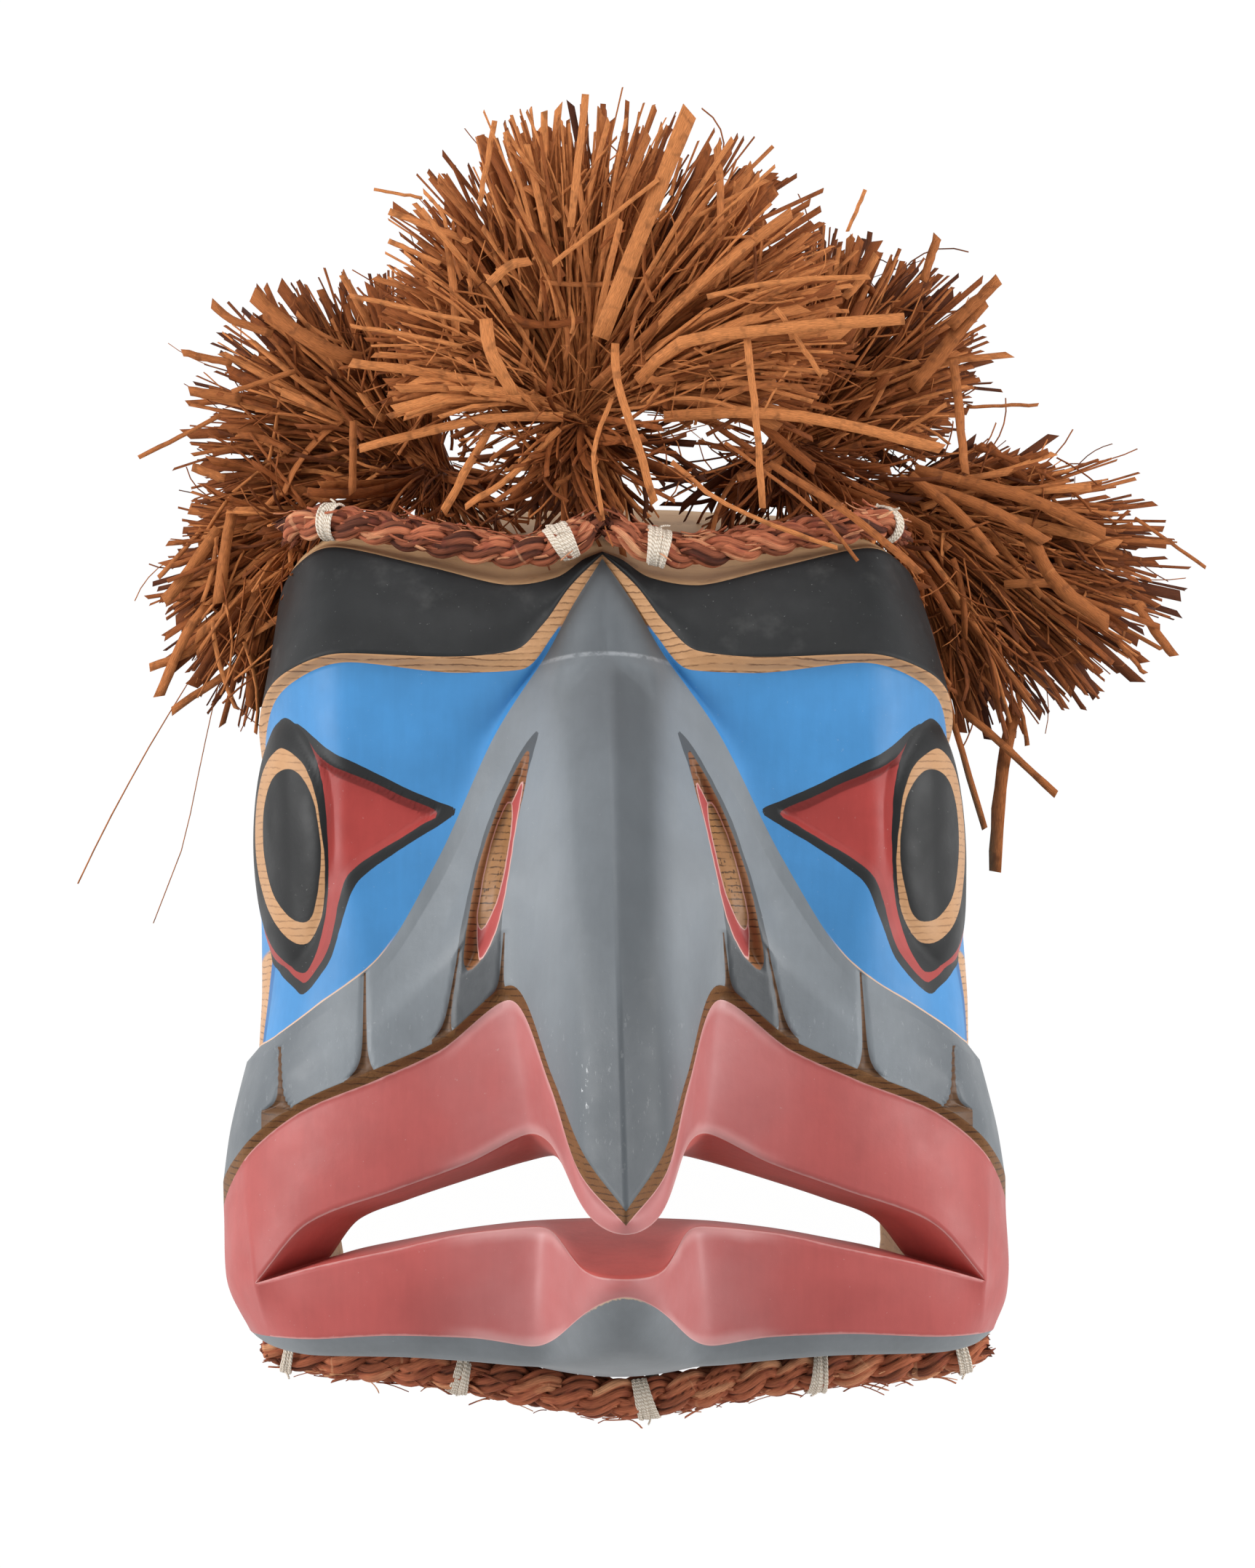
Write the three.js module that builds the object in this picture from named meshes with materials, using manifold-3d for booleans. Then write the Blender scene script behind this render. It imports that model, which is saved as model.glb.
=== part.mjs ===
// Kingfisher mask, carved cedar with plaited bark edging and five bark tufts.
// Millimetres. The mask lies on its flat back rim: x to the viewer's right, y to the
// top of the head, z up towards the viewer. Both halves share one drawing; the whole
// carving then leans a little to the left towards the crown.
import * as THREE from 'three';
import Module from 'manifold-3d';

const wasm = await Module();
wasm.setup();

// main sizes
const browHeight = 292;
const chinDrop = -15;
const jawHalfWidth = 132.6;
const beakTip = [0, 61.3, 192];
const peakZ = 89;
const gap = 0.3;
const nostrilDepth = 5;
const trigonDepth = 2.8;
const tickDepth = 3.2;
const topBraidRadius = 5.6;
const chinBraidRadius = 7.5;
const tieWidth = 7;
const tieThickness = 1.3;
const eyeCentre = [126, 174];
const eyeRadii = [31, 41];
const eyeSwell = 6.2;
const leanPerMm = 0.0226;
const leanPivot = 140;
// how far the rim runs to the right of a true mirror image, as [y, shift]
const rimDrift = [[-60, 2.3], [0, 2.3], [15, 1.7], [28, 0.7], [60, 0.6], [100, 1.1], [125, 2.2],
  [140, 2.1], [165, 1.5], [240, 1.3], [275, 0], [400, 0]];

// Every outline runs from the middle of the face (first point) round the side to the
// back rim (last point), ten stations each.
const stations = [0, 0.11, 0.22, 0.34, 0.46, 0.58, 0.7, 0.8, 0.9, 1];
const cornerStation = 7;

const crownRim = [
  [0, browHeight, 0], [12, 292, 0], [26, 291.8, 0], [42, 291, 0], [62, 290, 0],
  [84, 287, 0], [99, 280, 0], [107, 270, 0], [112, 260, 0], [115, 250, 0],
];
const browTop = [
  [0, 272.5, peakZ + 1], [6, 270, 91], [16, 263.5, 94], [31, 261, 96], [58, 267, 95],
  [90, 274, 86], [103, 268.5, 70], [109.5, 260, 52], [113, 251, 28], [116, 243, 0],
];
const browLow = [
  [0, 271.4, peakZ + 2], [11, 260.6, 96], [20.3, 248, 100], [31, 238.7, 106], [53, 236.6, 112],
  [86, 237.8, 109], [106, 232.5, 97], [115.3, 225, 75], [119.6, 214, 42], [121, 204, 0],
];
const socketTop = [
  [0, 270.8, peakZ + 0.5], [9.3, 257, 92.5], [17.2, 244.3, 95], [28.5, 232.6, 100.5], [50, 231.5, 105.2],
  [85, 235, 103.5], [104.5, 229, 91], [113.3, 221, 70], [117.6, 208, 40], [119, 197, 0],
];
const eyeLine = [
  [0, 270.5, peakZ + 0.2], [10, 255.5, 92.2], [18.2, 241.7, 95], [32, 223, 99], [55.5, 203, 103],
  [86, 186, 104], [102, 176, 91], [113.3, 168, 68], [120.8, 160, 36], [118.4, 150, 0],
];
const beakFoot = [
  [0, 270.2, peakZ], [10.5, 254, 92.5], [18.8, 239, 96], [36.7, 212, 103], [57, 170, 106],
  [78, 136.5, 107], [100, 120.5, 100], [114.5, 110, 86], [121.4, 104, 50], [120.6, 99, 0],
];
const beakUpper = [
  [0, 239, 97], [10.9, 228, 105.5], [19.2, 218, 110], [36.3, 199.5, 107.5], [57, 161, 107.5],
  [78, 131, 108.5], [101, 116, 101.3], [116.8, 105, 87.5], [125.6, 99, 50], [122.5, 92, 0],
];
const beakMiddle = [
  [0, 200, 134], [11.4, 193, 133.5], [19.8, 191, 127.5], [35.8, 183, 115.5], [57.2, 149, 111.5],
  [78.3, 124, 110.5], [102, 109.5, 102.6], [118.6, 97.5, 89], [128.2, 89, 50], [125.5, 81, 0],
];
const beakLower = [
  [0, 137, 169], [12.1, 140, 161], [20.5, 149.5, 146.5], [34.9, 158, 127.5], [57.3, 132, 117],
  [78.7, 113.5, 113], [104, 100, 104], [121.8, 86.5, 90], [131.6, 74, 49.5], [129, 64, 0],
];
const greyEdge = [
  beakTip, [13, 79, 178], [21.5, 101, 156], [34, 129, 126], [57.5, 111, 118],
  [79, 101, 114], [106, 89, 104], [124.6, 74, 88], [134.2, 57, 48], [131, 48, 0],
];
const redEdge = [
  [0, 56.5, 188], [14, 72, 169], [22.3, 98, 149], [34.5, 124, 122], [58, 107, 115],
  [79.5, 97, 111], [106, 85.5, 101], [125.5, 68, 84], [134.4, 48, 45], [131.5, 40, 0],
];
const upperLip = [
  [0, 51.5, 186], [13, 58, 174], [20, 76, 148], [28, 80.5, 124], [50, 70, 118],
  [74, 61, 114], [103, 49.5, 106], [121.5, 29, 98], [jawHalfWidth, 22, 58], [129.3, 18, 0],
];
const lowerLip = [
  [0, 37.2, 168], [12, 37.6, 158], [17.5, 43.5, 138], [25, 49.3, 117], [50, 46.8, 113],
  [74, 41.5, 111], [103, 34.8, 106], [121.5, 29, 98], [jawHalfWidth, 22, 58], [129.3, 18, 0],
];
const chinLine = [
  [0, 33.3, 166], [13, 25, 150], [21.5, 13.5, 124], [30, 9.9, 116], [50, 12.4, 113],
  [74, 13, 111], [103, 11, 103], [119.4, 10, 86], [127.8, 8, 46], [126, 9, 0],
];
const chinUpper = [
  [0, 12, 146], [13, 8, 134], [22.5, 4, 114], [32, 2, 104], [52, 3.5, 102],
  [76, 4.5, 99], [104, 4, 90], [118.3, 5, 74], [126.2, 6, 38], [125.8, 8, 0],
];
const chinMiddle = [
  [0, -3, 92], [13.5, -3, 86], [25, -2.5, 74], [37, -1, 66], [57, 1, 62],
  [80, 2.5, 60], [104, 2.5, 54], [116.5, 3.5, 46], [123, 5, 22], [125.2, 7.2, 0],
];
const chinRim = [
  [0, chinDrop, 0], [14, -13.8, 0], [27, -11.6, 0], [40, -8.8, 0], [60, -4.8, 0],
  [82, -2.2, 0], [101, 0, 0], [113.5, 2, 0], [120.4, 4, 0], [124.6, 6.5, 0],
];

// hollow of the mask: half width, depth, y in the middle and y at the side
const hollowTop = archRow(91, 0, 268, 228);
const hollowBrow = archRow(92, 66, 255, 214);
const hollowEyes = archRow(94, 86, 168, 156);
const hollowChin = archRow(94.5, 0, 11, 26);
const throatUpper = [
  [0, 71, 90], [13, 71, 90], [21, 70.5, 90], [30, 68.5, 90], [51, 62, 89],
  [70, 55.5, 87], [86, 49, 84], [97, 35.4, 78], [97, 34.2, 40], [95.5, 33, 0],
];
const throatLower = [
  [0, 49.5, 88], [13, 49.3, 88], [21, 49, 88], [30, 48.5, 88], [51, 46, 87],
  [70, 42.5, 86], [86, 39, 83], [97, 35.4, 78], [97, 34.2, 40], [95.5, 33, 0],
];

// One arch of the hollow: a flattened half ellipse from the middle to the rim.
function archRow(halfWidth, depth, yMiddle, ySide) {
  return stations.map((s) => {
    const angle = s * Math.PI / 2;
    const x = halfWidth * Math.pow(Math.sin(angle), 0.92);
    const z = s === 1 ? 0 : depth * Math.pow(Math.cos(angle), 0.55);
    const y = yMiddle + (ySide - yMiddle) * Math.pow(s, 2.6);
    return [x, y, z];
  });
}

// Smooth curve through the knots that never overshoots them.
function smoothCurve(knots, values) {
  const n = knots.length;
  const step = [];
  const slope = [];
  for (let i = 0; i < n - 1; i += 1) {
    step.push(knots[i + 1] - knots[i]);
    slope.push((values[i + 1] - values[i]) / step[i]);
  }
  const tangent = [slope[0]];
  for (let i = 1; i < n - 1; i += 1) {
    if (slope[i - 1] * slope[i] <= 0) {
      tangent.push(0);
    } else {
      const a = 2 * step[i] + step[i - 1];
      const b = step[i] + 2 * step[i - 1];
      tangent.push((a + b) / (a / slope[i - 1] + b / slope[i]));
    }
  }
  tangent.push(slope[n - 2]);
  return (t) => {
    let i = 0;
    while (i < n - 2 && t > knots[i + 1]) {
      i += 1;
    }
    const u = (t - knots[i]) / step[i];
    const h00 = (1 + 2 * u) * (1 - u) * (1 - u);
    const h10 = u * (1 - u) * (1 - u);
    const h01 = u * u * (3 - 2 * u);
    const h11 = u * u * (u - 1);
    return h00 * values[i] + h10 * step[i] * tangent[i]
      + h01 * values[i + 1] + h11 * step[i] * tangent[i + 1];
  };
}

// An outline as a function of the place across the face, -1 at the left rim, 1 at the right.
// The four outlines round the open mouth have a corner where the two lips meet.
function outlineAt(points) {
  const mouth = [upperLip, lowerLip, throatUpper, throatLower].includes(points);
  const corner = stations[cornerStation];
  const curves = [0, 1, 2].map((axis) => {
    const values = points.map((p) => p[axis]);
    if (!mouth) {
      return smoothCurve(stations, values);
    }
    const front = smoothCurve(stations.slice(0, cornerStation + 1), values.slice(0, cornerStation + 1));
    const side = smoothCurve(stations.slice(cornerStation), values.slice(cornerStation));
    return (a) => (a < corner ? front(a) : side(a));
  });
  return (s) => {
    const a = Math.abs(s);
    const side = s < 0 ? -1 : 1;
    return [side * curves[0](a), curves[1](a), curves[2](a)];
  };
}

// A surface through two or more outlines, as rows of points; bulge swells its middle.
function loftRows(outlines, places, columns, rowCount, bulge = 0) {
  const curves = outlines.map(outlineAt);
  const rows = Array.from({ length: rowCount + 1 }, () => []);
  for (const s of columns) {
    const along = curves.map((curve) => curve(s));
    const axes = [0, 1, 2].map((axis) => smoothCurve(places, along.map((p) => p[axis])));
    for (let j = 0; j <= rowCount; j += 1) {
      const t = j / rowCount;
      const swell = bulge * Math.sin(Math.PI * t) * (1 - Math.pow(Math.abs(s), 6));
      rows[j].push([axes[0](t), axes[1](t), axes[2](t) + (axes[2](t) > 0 ? swell : 0)]);
    }
  }
  return rows;
}

// Triangles of a surface given by rows; outward is set by the order.
function addRows(soup, rows, flipped) {
  for (let j = 0; j < rows.length - 1; j += 1) {
    for (let i = 0; i < rows[j].length - 1; i += 1) {
      const a = rows[j][i];
      const b = rows[j][i + 1];
      const c = rows[j + 1][i + 1];
      const d = rows[j + 1][i];
      const faces = i < rows[j].length / 2 ? [[a, b, c], [a, c, d]] : [[a, b, d], [b, c, d]];
      for (const face of faces) {
        soup.push(flipped ? [face[0], face[2], face[1]] : face);
      }
    }
  }
}

// Triangle list to a mesh that shares its corners, without empty triangles.
function weld(soup) {
  const index = new Map();
  const points = [];
  const faces = [];
  for (const face of soup) {
    const ids = face.map((p) => {
      const key = p.map((v) => Math.round(v * 2000)).join(',');
      if (!index.has(key)) {
        index.set(key, points.length);
        points.push(p);
      }
      return index.get(key);
    });
    if (ids[0] !== ids[1] && ids[1] !== ids[2] && ids[2] !== ids[0]) {
      faces.push(ids);
    }
  }
  return { points, faces };
}

// Closed solid from a welded mesh, for joining and cutting.
function toSolid({ points, faces }) {
  const mesh = new wasm.Mesh({
    numProp: 3,
    vertProperties: new Float32Array(points.flat()),
    triVerts: new Uint32Array(faces.flat()),
  });
  const solid = new wasm.Manifold(mesh);
  if (solid.volume() < 0) {
    const turned = faces.map((f) => [f[0], f[2], f[1]]);
    return toSolid({ points, faces: turned });
  }
  return solid;
}

function geometryOf(solid) {
  const mesh = solid.getMesh();
  const geometry = new THREE.BufferGeometry();
  const positions = new Float32Array(mesh.numVert * 3);
  for (let i = 0; i < mesh.numVert; i += 1) {
    for (let k = 0; k < 3; k += 1) {
      positions[3 * i + k] = mesh.vertProperties[i * mesh.numProp + k];
    }
  }
  geometry.setAttribute('position', new THREE.BufferAttribute(positions, 3));
  geometry.setIndex(Array.from(mesh.triVerts));
  geometry.computeVertexNormals();
  return geometry;
}

function named(name, solid, colour, roughness) {
  const material = new THREE.MeshStandardMaterial({ color: colour, roughness, metalness: 0 });
  const mesh = new THREE.Mesh(geometryOf(solid), material);
  mesh.name = name;
  return mesh;
}

// Places across the face, finer where the outlines turn.
function faceColumns() {
  const parts = [3, 3, 3, 3, 3, 2, 3, 3, 2];
  const half = [0];
  for (let i = 0; i < parts.length; i += 1) {
    for (let j = 1; j <= parts[i]; j += 1) {
      half.push(stations[i] + (stations[i + 1] - stations[i]) * j / parts[i]);
    }
  }
  return half.slice(1).reverse().map((s) => -s).concat(half);
}

// The outer face, from the crown rim over brow, eyes, beak and lips to the chin rim.
function faceSurfaces(columns) {
  return [
    loftRows([crownRim, browTop], [0, 1], columns, 3, 3),
    loftRows([browTop, browLow], [0, 1], columns, 3, 2),
    loftRows([browLow, socketTop], [0, 1], columns, 1),
    loftRows([socketTop, eyeLine, beakFoot], [0, 0.5, 1], columns, 5),
    loftRows([beakFoot, beakUpper, beakMiddle, beakLower, greyEdge], [0, 0.15, 0.35, 0.65, 1],
      columns, 8),
    loftRows([greyEdge, redEdge], [0, 1], columns, 1),
    loftRows([redEdge, upperLip], [0, 1], columns, 2, 1.5),
    loftRows([lowerLip, chinLine], [0, 1], columns, 2, 1.5),
    loftRows([chinLine, chinUpper, chinMiddle, chinRim], [0, 0.15, 0.45, 1], columns, 5),
  ];
}

// The rounded hollow behind the face, above and below the open mouth.
function hollowSurfaces(columns) {
  return [
    loftRows([hollowTop, hollowBrow, hollowEyes, throatUpper], [0, 0.16, 0.55, 1], columns, 7),
    loftRows([throatLower, hollowChin], [0, 1], columns, 3, 6),
  ];
}

// Flat rim between the outer and the inner outline at z = 0, filled in turn round the centre.
function addRim(soup, face, hollow) {
  const ringOf = (surfaces) => {
    const last = surfaces[surfaces.length - 1];
    const ring = [...surfaces[0][0]];
    for (const rows of surfaces) {
      ring.push(...rows.slice(1).map((row) => row[row.length - 1]));
    }
    ring.push(...[...last[last.length - 1]].reverse().slice(1));
    for (const rows of [...surfaces].reverse()) {
      ring.push(...[...rows].reverse().slice(1).map((row) => row[0]));
    }
    return ring;
  };
  const turns = (ring) => {
    let angle = Math.atan2(ring[0][1] - 140, ring[0][0]);
    return ring.map((p) => {
      const next = Math.atan2(p[1] - 140, p[0]);
      angle += THREE.MathUtils.euclideanModulo(next - angle + Math.PI, 2 * Math.PI) - Math.PI;
      return angle;
    });
  };
  const outer = ringOf(face);
  const inner = ringOf(hollow);
  const outerTurn = turns(outer);
  const innerTurn = turns(inner);
  let i = 0;
  let j = 0;
  while (i < outer.length - 1 || j < inner.length - 1) {
    const outerNext = i < outer.length - 1 ? outerTurn[i + 1] : -Infinity;
    const innerNext = j < inner.length - 1 ? innerTurn[j + 1] : -Infinity;
    if (outerNext >= innerNext) {
      soup.push([outer[i], outer[i + 1], inner[j]]);
      i += 1;
    } else {
      soup.push([outer[i], inner[j + 1], inner[j]]);
      j += 1;
    }
  }
}

// Front height of the face above a place, for cuts that follow the surface.
function frontHeight(surfaces) {
  const triangles = [];
  for (const rows of surfaces) {
    addRows(triangles, rows, true);
  }
  return (x, y) => {
    let best = 0;
    for (const [a, b, c] of triangles) {
      const area = (b[0] - a[0]) * (c[1] - a[1]) - (b[1] - a[1]) * (c[0] - a[0]);
      const u = ((x - a[0]) * (c[1] - a[1]) - (y - a[1]) * (c[0] - a[0])) / area;
      const v = ((b[0] - a[0]) * (y - a[1]) - (b[1] - a[1]) * (x - a[0])) / area;
      if (u >= -1e-6 && v >= -1e-6 && u + v <= 1 + 1e-6) {
        best = Math.max(best, a[2] + u * (b[2] - a[2]) + v * (c[2] - a[2]));
      }
    }
    return best;
  };
}

// A cutter with the given outline whose floor lies a set depth under the face.
function recess(outline, depth, height, side) {
  const ring = outline.map(([x, y]) => [side * x, y]);
  const contour = ring.map(([x, y]) => new THREE.Vector2(x, y));
  if (THREE.ShapeUtils.isClockWise(contour)) {
    ring.reverse();
    contour.reverse();
  }
  const low = ring.map(([x, y]) => [x, y, height(x, y) - depth]);
  const high = ring.map(([x, y]) => [x, y, height(x, y) + 12]);
  const soup = [];
  for (const [a, b, c] of THREE.ShapeUtils.triangulateShape(contour, [])) {
    soup.push([low[a], low[c], low[b]], [high[a], high[b], high[c]]);
  }
  for (let i = 0; i < ring.length; i += 1) {
    const j = (i + 1) % ring.length;
    soup.push([low[i], low[j], high[j]], [low[i], high[j], high[i]]);
  }
  return toSolid(weld(soup));
}

// Rounded outline through a few points.
function rounded(points, count) {
  const curve = new THREE.CatmullRomCurve3(points.map(([x, y]) => new THREE.Vector3(x, y, 0)), true);
  return curve.getPoints(count).slice(0, count).map((p) => [p.x, p.y]);
}

// Carved mask: one piece of wood, hollow behind, open at the mouth.
function carvedMask() {
  const columns = faceColumns();
  const face = faceSurfaces(columns);
  const hollow = hollowSurfaces(columns);
  const corner = stations[cornerStation];
  const inMouth = columns.filter((s) => Math.abs(s) <= corner + 1e-9);
  const soup = [];
  face.forEach((rows) => addRows(soup, rows, true));
  hollow.forEach((rows) => addRows(soup, rows, false));
  addRows(soup, loftRows([upperLip, throatUpper], [0, 1], inMouth, 2), true);
  addRows(soup, loftRows([lowerLip, throatLower], [0, 1], inMouth, 2), false);
  addRim(soup, face, hollow);
  let mask = toSolid(weld(soup));

  const height = frontHeight(face);
  const nostril = rounded([[29, 204], [37, 193], [43, 181], [47.5, 166], [49.5, 150], [49.5, 137],
    [45, 136.5], [40, 152], [36.5, 170], [32, 189]], 22);
  const trigon = [[58.5, 183.5], [78.6, 191.3], [95.5, 199.8], [103, 206.5], [98.5, 195],
    [94.5, 180], [93.2, 166], [94.5, 151], [98, 138], [96.4, 136.8], [93.5, 149], [91, 156.5],
    [83.4, 164.7], [71.3, 173.2]];
  const ticks = [
    [[82, 126.5], [84.6, 104], [86, 98], [79.6, 98.5], [82.4, 105]],
    [[113.4, 108], [113.2, 92], [114.4, 83], [109.8, 84.5], [111.8, 93]],
  ];
  for (const side of [-1, 1]) {
    mask = mask.subtract(recess(nostril, nostrilDepth, height, side));
    mask = mask.subtract(recess(trigon, trigonDepth, height, side));
    for (const tick of ticks) {
      mask = mask.subtract(recess(tick, tickDepth, height, side));
    }
  }
  return mask;
}

// Smooth line through route points.
function routeOf(points) {
  return new THREE.CatmullRomCurve3(points.map((p) => new THREE.Vector3(...p)), false, 'centripetal');
}

// Frame along a route: the outward side is kept near the given direction.
function routeFrame(route, t, outward) {
  const centre = route.getPointAt(t);
  const along = route.getTangentAt(t);
  const up = outward.clone().addScaledVector(along, -outward.dot(along)).normalize();
  const across = new THREE.Vector3().crossVectors(along, up);
  return { centre, up, across };
}

// Closed tube along a route; profile gives the section points at each place.
function sweep(route, count, outward, profile) {
  const rings = [];
  for (let j = 0; j <= count; j += 1) {
    const t = j / count;
    const { centre, up, across } = routeFrame(route, t, outward);
    rings.push(profile(t).map(([a, b]) => {
      const p = centre.clone().addScaledVector(across, a).addScaledVector(up, b);
      return [p.x, p.y, p.z];
    }));
  }
  const soup = [];
  for (let j = 0; j < count; j += 1) {
    const sides = rings[j].length;
    for (let i = 0; i < sides; i += 1) {
      const k = (i + 1) % sides;
      soup.push([rings[j][i], rings[j][k], rings[j + 1][k]]);
      soup.push([rings[j][i], rings[j + 1][k], rings[j + 1][i]]);
    }
  }
  for (const [ring, turned] of [[rings[0], true], [rings[count], false]]) {
    for (let i = 1; i < ring.length - 1; i += 1) {
      soup.push(turned ? [ring[0], ring[i + 1], ring[i]] : [ring[0], ring[i], ring[i + 1]]);
    }
  }
  return toSolid(weld(soup));
}

// Three-strand plait: a flat round tube whose two edges swell in turn, one lobe a crossing.
function plait(route, outward, radius, lobe) {
  const length = route.getLength();
  const count = Math.round(length / (lobe / 3));
  return sweep(route, count, outward, (t) => {
    const turn = 2 * Math.PI * t * length / (2 * lobe);
    const taper = Math.min(1, 0.55 + 5 * Math.min(t, 1 - t));
    const section = [];
    for (let i = 0; i < 8; i += 1) {
      const angle = 2 * Math.PI * (i + 0.5) / 8;
      const swell = 1 + 0.17 * Math.cos(angle) * Math.sin(turn) - 0.06 * Math.cos(2 * turn);
      section.push([
        radius * taper * swell * Math.cos(angle),
        radius * 0.9 * taper * swell * Math.sin(angle),
      ]);
    }
    return section;
  });
}

const crownRoute = (side, end) => routeOf([
  [side * 3.6, 280.4, 97], [side * 9, 277.2, 97], [side * 17, 273.9, 97], [side * 27, 272.2, 96.5],
  [side * 39, 273.6, 95.5], [side * 52, 275.8, 94.5], [side * 64, 278, 93], [side * 78, 280.6, 90],
  [side * 90, 282.3, 86], [side * (end - 4), 282, 79], [side * end, 280.5, 75],
]);

const chinRoute = routeOf([
  [-124, -1.6, 14], [-110, -4.6, 14], [-85, -7.6, 14], [-56, -11, 14], [-30, -16.4, 14],
  [0, -21, 14], [30, -17.4, 14], [56, -13, 14], [85, -9.8, 14], [110, -7.2, 14], [128, -2.2, 14],
]);

// String tie: a band of cord over a plait, open towards the wood.
function tieOver(route, t, outward, radius) {
  const { centre, up, across } = routeFrame(route, t, outward);
  const along = route.getTangentAt(t);
  const inner = radius * 1.16 + gap;
  const outer = inner + tieThickness;
  const soup = [];
  const steps = 9;
  const reach = 1.72;
  const point = (angle, r, shift) => {
    const p = centre.clone()
      .addScaledVector(across, r * Math.sin(angle))
      .addScaledVector(up, r * 0.95 * Math.cos(angle))
      .addScaledVector(along, shift);
    return [p.x, p.y, p.z];
  };
  const section = (angle) => [
    point(angle, inner, -tieWidth / 2), point(angle, outer, -tieWidth / 2 + 0.8),
    point(angle, outer, tieWidth / 2 - 0.8), point(angle, inner, tieWidth / 2),
  ];
  const sections = [];
  for (let j = 0; j <= steps; j += 1) {
    sections.push(section(-reach + 2 * reach * j / steps));
  }
  for (let j = 0; j < steps; j += 1) {
    for (let i = 0; i < 4; i += 1) {
      const k = (i + 1) % 4;
      soup.push([sections[j][i], sections[j][k], sections[j + 1][k]]);
      soup.push([sections[j][i], sections[j + 1][k], sections[j + 1][i]]);
    }
  }
  const first = sections[0];
  const last = sections[steps];
  soup.push([first[0], first[2], first[1]], [first[0], first[3], first[2]]);
  soup.push([last[0], last[1], last[2]], [last[0], last[2], last[3]]);
  return toSolid(weld(soup));
}

// Even, repeatable scatter between 0 and 1.
function scatter(seed) {
  const v = Math.sin(seed * 127.1 + 11.7) * 43758.5453;
  return v - Math.floor(v);
}

// Tuft of shredded bark: a stalk out of the wood, then a pleated fan whose edge breaks into
// points. knot is where it is gathered, from and to the fan angles in degrees, reaches the
// radii between them; strays are single strips, by their route and width.
function barkTuft({ foot, knot, from, to, points, reaches, depth, lean, seed, strays }) {
  const reach = smoothCurve(reaches.map((r, i) => i / (reaches.length - 1)), reaches);
  const soup = [];
  const rim = [];
  for (let i = 0; i <= 2 * points; i += 1) {
    const f = i / (2 * points);
    const angle = THREE.MathUtils.degToRad(from + (to - from) * f);
    const outer = i % 2 === 1;
    const notch = outer ? 0.95 + 0.06 * scatter(seed + i) : 0.74 + 0.1 * scatter(seed + i);
    const lift = outer ? (scatter(seed + 3 * i) - 0.5) * depth * 0.7 : 0;
    rim.push({ angle, reach: reach(f) * notch, lift, pleat: outer ? 1 : 0.78 });
  }
  const place = (angle, r, lift) => [
    knot[0] + r * Math.cos(angle), knot[1] + r * Math.sin(angle), knot[2] + lean * r + lift,
  ];
  const shell = (part, side) => rim.map((strip) => {
    const swell = 0.5 * depth * strip.pleat * Math.sin(Math.PI * (0.18 + 0.62 * part));
    return place(strip.angle, strip.reach * part, side * swell);
  });
  const edge = rim.map((strip) => place(strip.angle, strip.reach, strip.lift));
  const hub = rim.map(() => knot);
  const upper = [hub, shell(0.25, 1), shell(0.62, 1), edge];
  const lower = [hub, shell(0.25, -1), shell(0.62, -1), edge];
  addRows(soup, upper, false);
  addRows(soup, lower, true);
  for (const last of [0, rim.length - 1]) {
    const loop = [knot, upper[1][last], upper[2][last], edge[last], lower[2][last], lower[1][last]];
    for (let i = 1; i < loop.length - 1; i += 1) {
      soup.push(last === 0 ? [loop[0], loop[i], loop[i + 1]] : [loop[0], loop[i + 1], loop[i]]);
    }
  }
  let tuft = toSolid(weld(soup));
  const middle = THREE.MathUtils.degToRad((from + to) / 2);
  const stalk = routeOf([foot, knot,
    [knot[0] + 14 * Math.cos(middle), knot[1] + 14 * Math.sin(middle), knot[2] + 14 * lean]]);
  const thick = smoothCurve([0, 0.3, 0.62, 1], [7.5, 9.5, 6, 8.5]);
  const front = new THREE.Vector3(0, 0, 1);
  tuft = tuft.add(sweep(stalk, 6, front, (t) => polygon(6, thick(t))));
  for (const [route, width] of strays) {
    const half = width / 2;
    tuft = tuft.add(sweep(routeOf([knot, ...route]), route.length, front,
      () => [[half, 0.6], [-half, 0.6], [-half, -0.6], [half, -0.6]]));
  }
  return tuft;
}

// The eyes swell out of the side walls like lenses, and the flat rim stays flat;
// around counts on round the corner of the wall.
function withEyes(solid) {
  return solid.warp((point) => {
    const wide = Math.abs(point[0]);
    const wall = ((wide - 93) * 31 + (104 - point[2]) * 59) / 66.6;
    const around = wide + 0.535 * Math.max(wall, 0);
    const sideways = (around - eyeCentre[0]) / eyeRadii[0];
    const upwards = (point[1] - eyeCentre[1]) / eyeRadii[1];
    const away = sideways ** 2 + upwards ** 2;
    const offRim = THREE.MathUtils.smoothstep(point[2], 4, 24);
    if (away < 1) {
      const swell = eyeSwell * offRim * (1 - away ** 2);
      const turn = THREE.MathUtils.smoothstep(wall, -4, 14);
      const way = new THREE.Vector3(0.885 * turn * Math.sign(point[0]), 0, 1 - 0.535 * turn).normalize();
      point[0] += swell * way.x;
      point[2] += swell * way.z;
    }
  });
}

// Drawn point to carved point: the lean of the middle line and the drift of the rim.
const driftAt = smoothCurve(rimDrift.map((row) => row[0]), rimDrift.map((row) => row[1]));

function asCarved(solid) {
  return solid.warp((point) => {
    const towardsRim = THREE.MathUtils.smoothstep(Math.abs(point[0]), 85, 118);
    point[0] += towardsRim * driftAt(point[1]) - leanPerMm * (point[1] - leanPivot);
  });
}

function polygon(sides, radius) {
  return Array.from({ length: sides }, (unused, i) => {
    const angle = 2 * Math.PI * i / sides;
    return [radius * Math.cos(angle), radius * Math.sin(angle)];
  });
}

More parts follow.
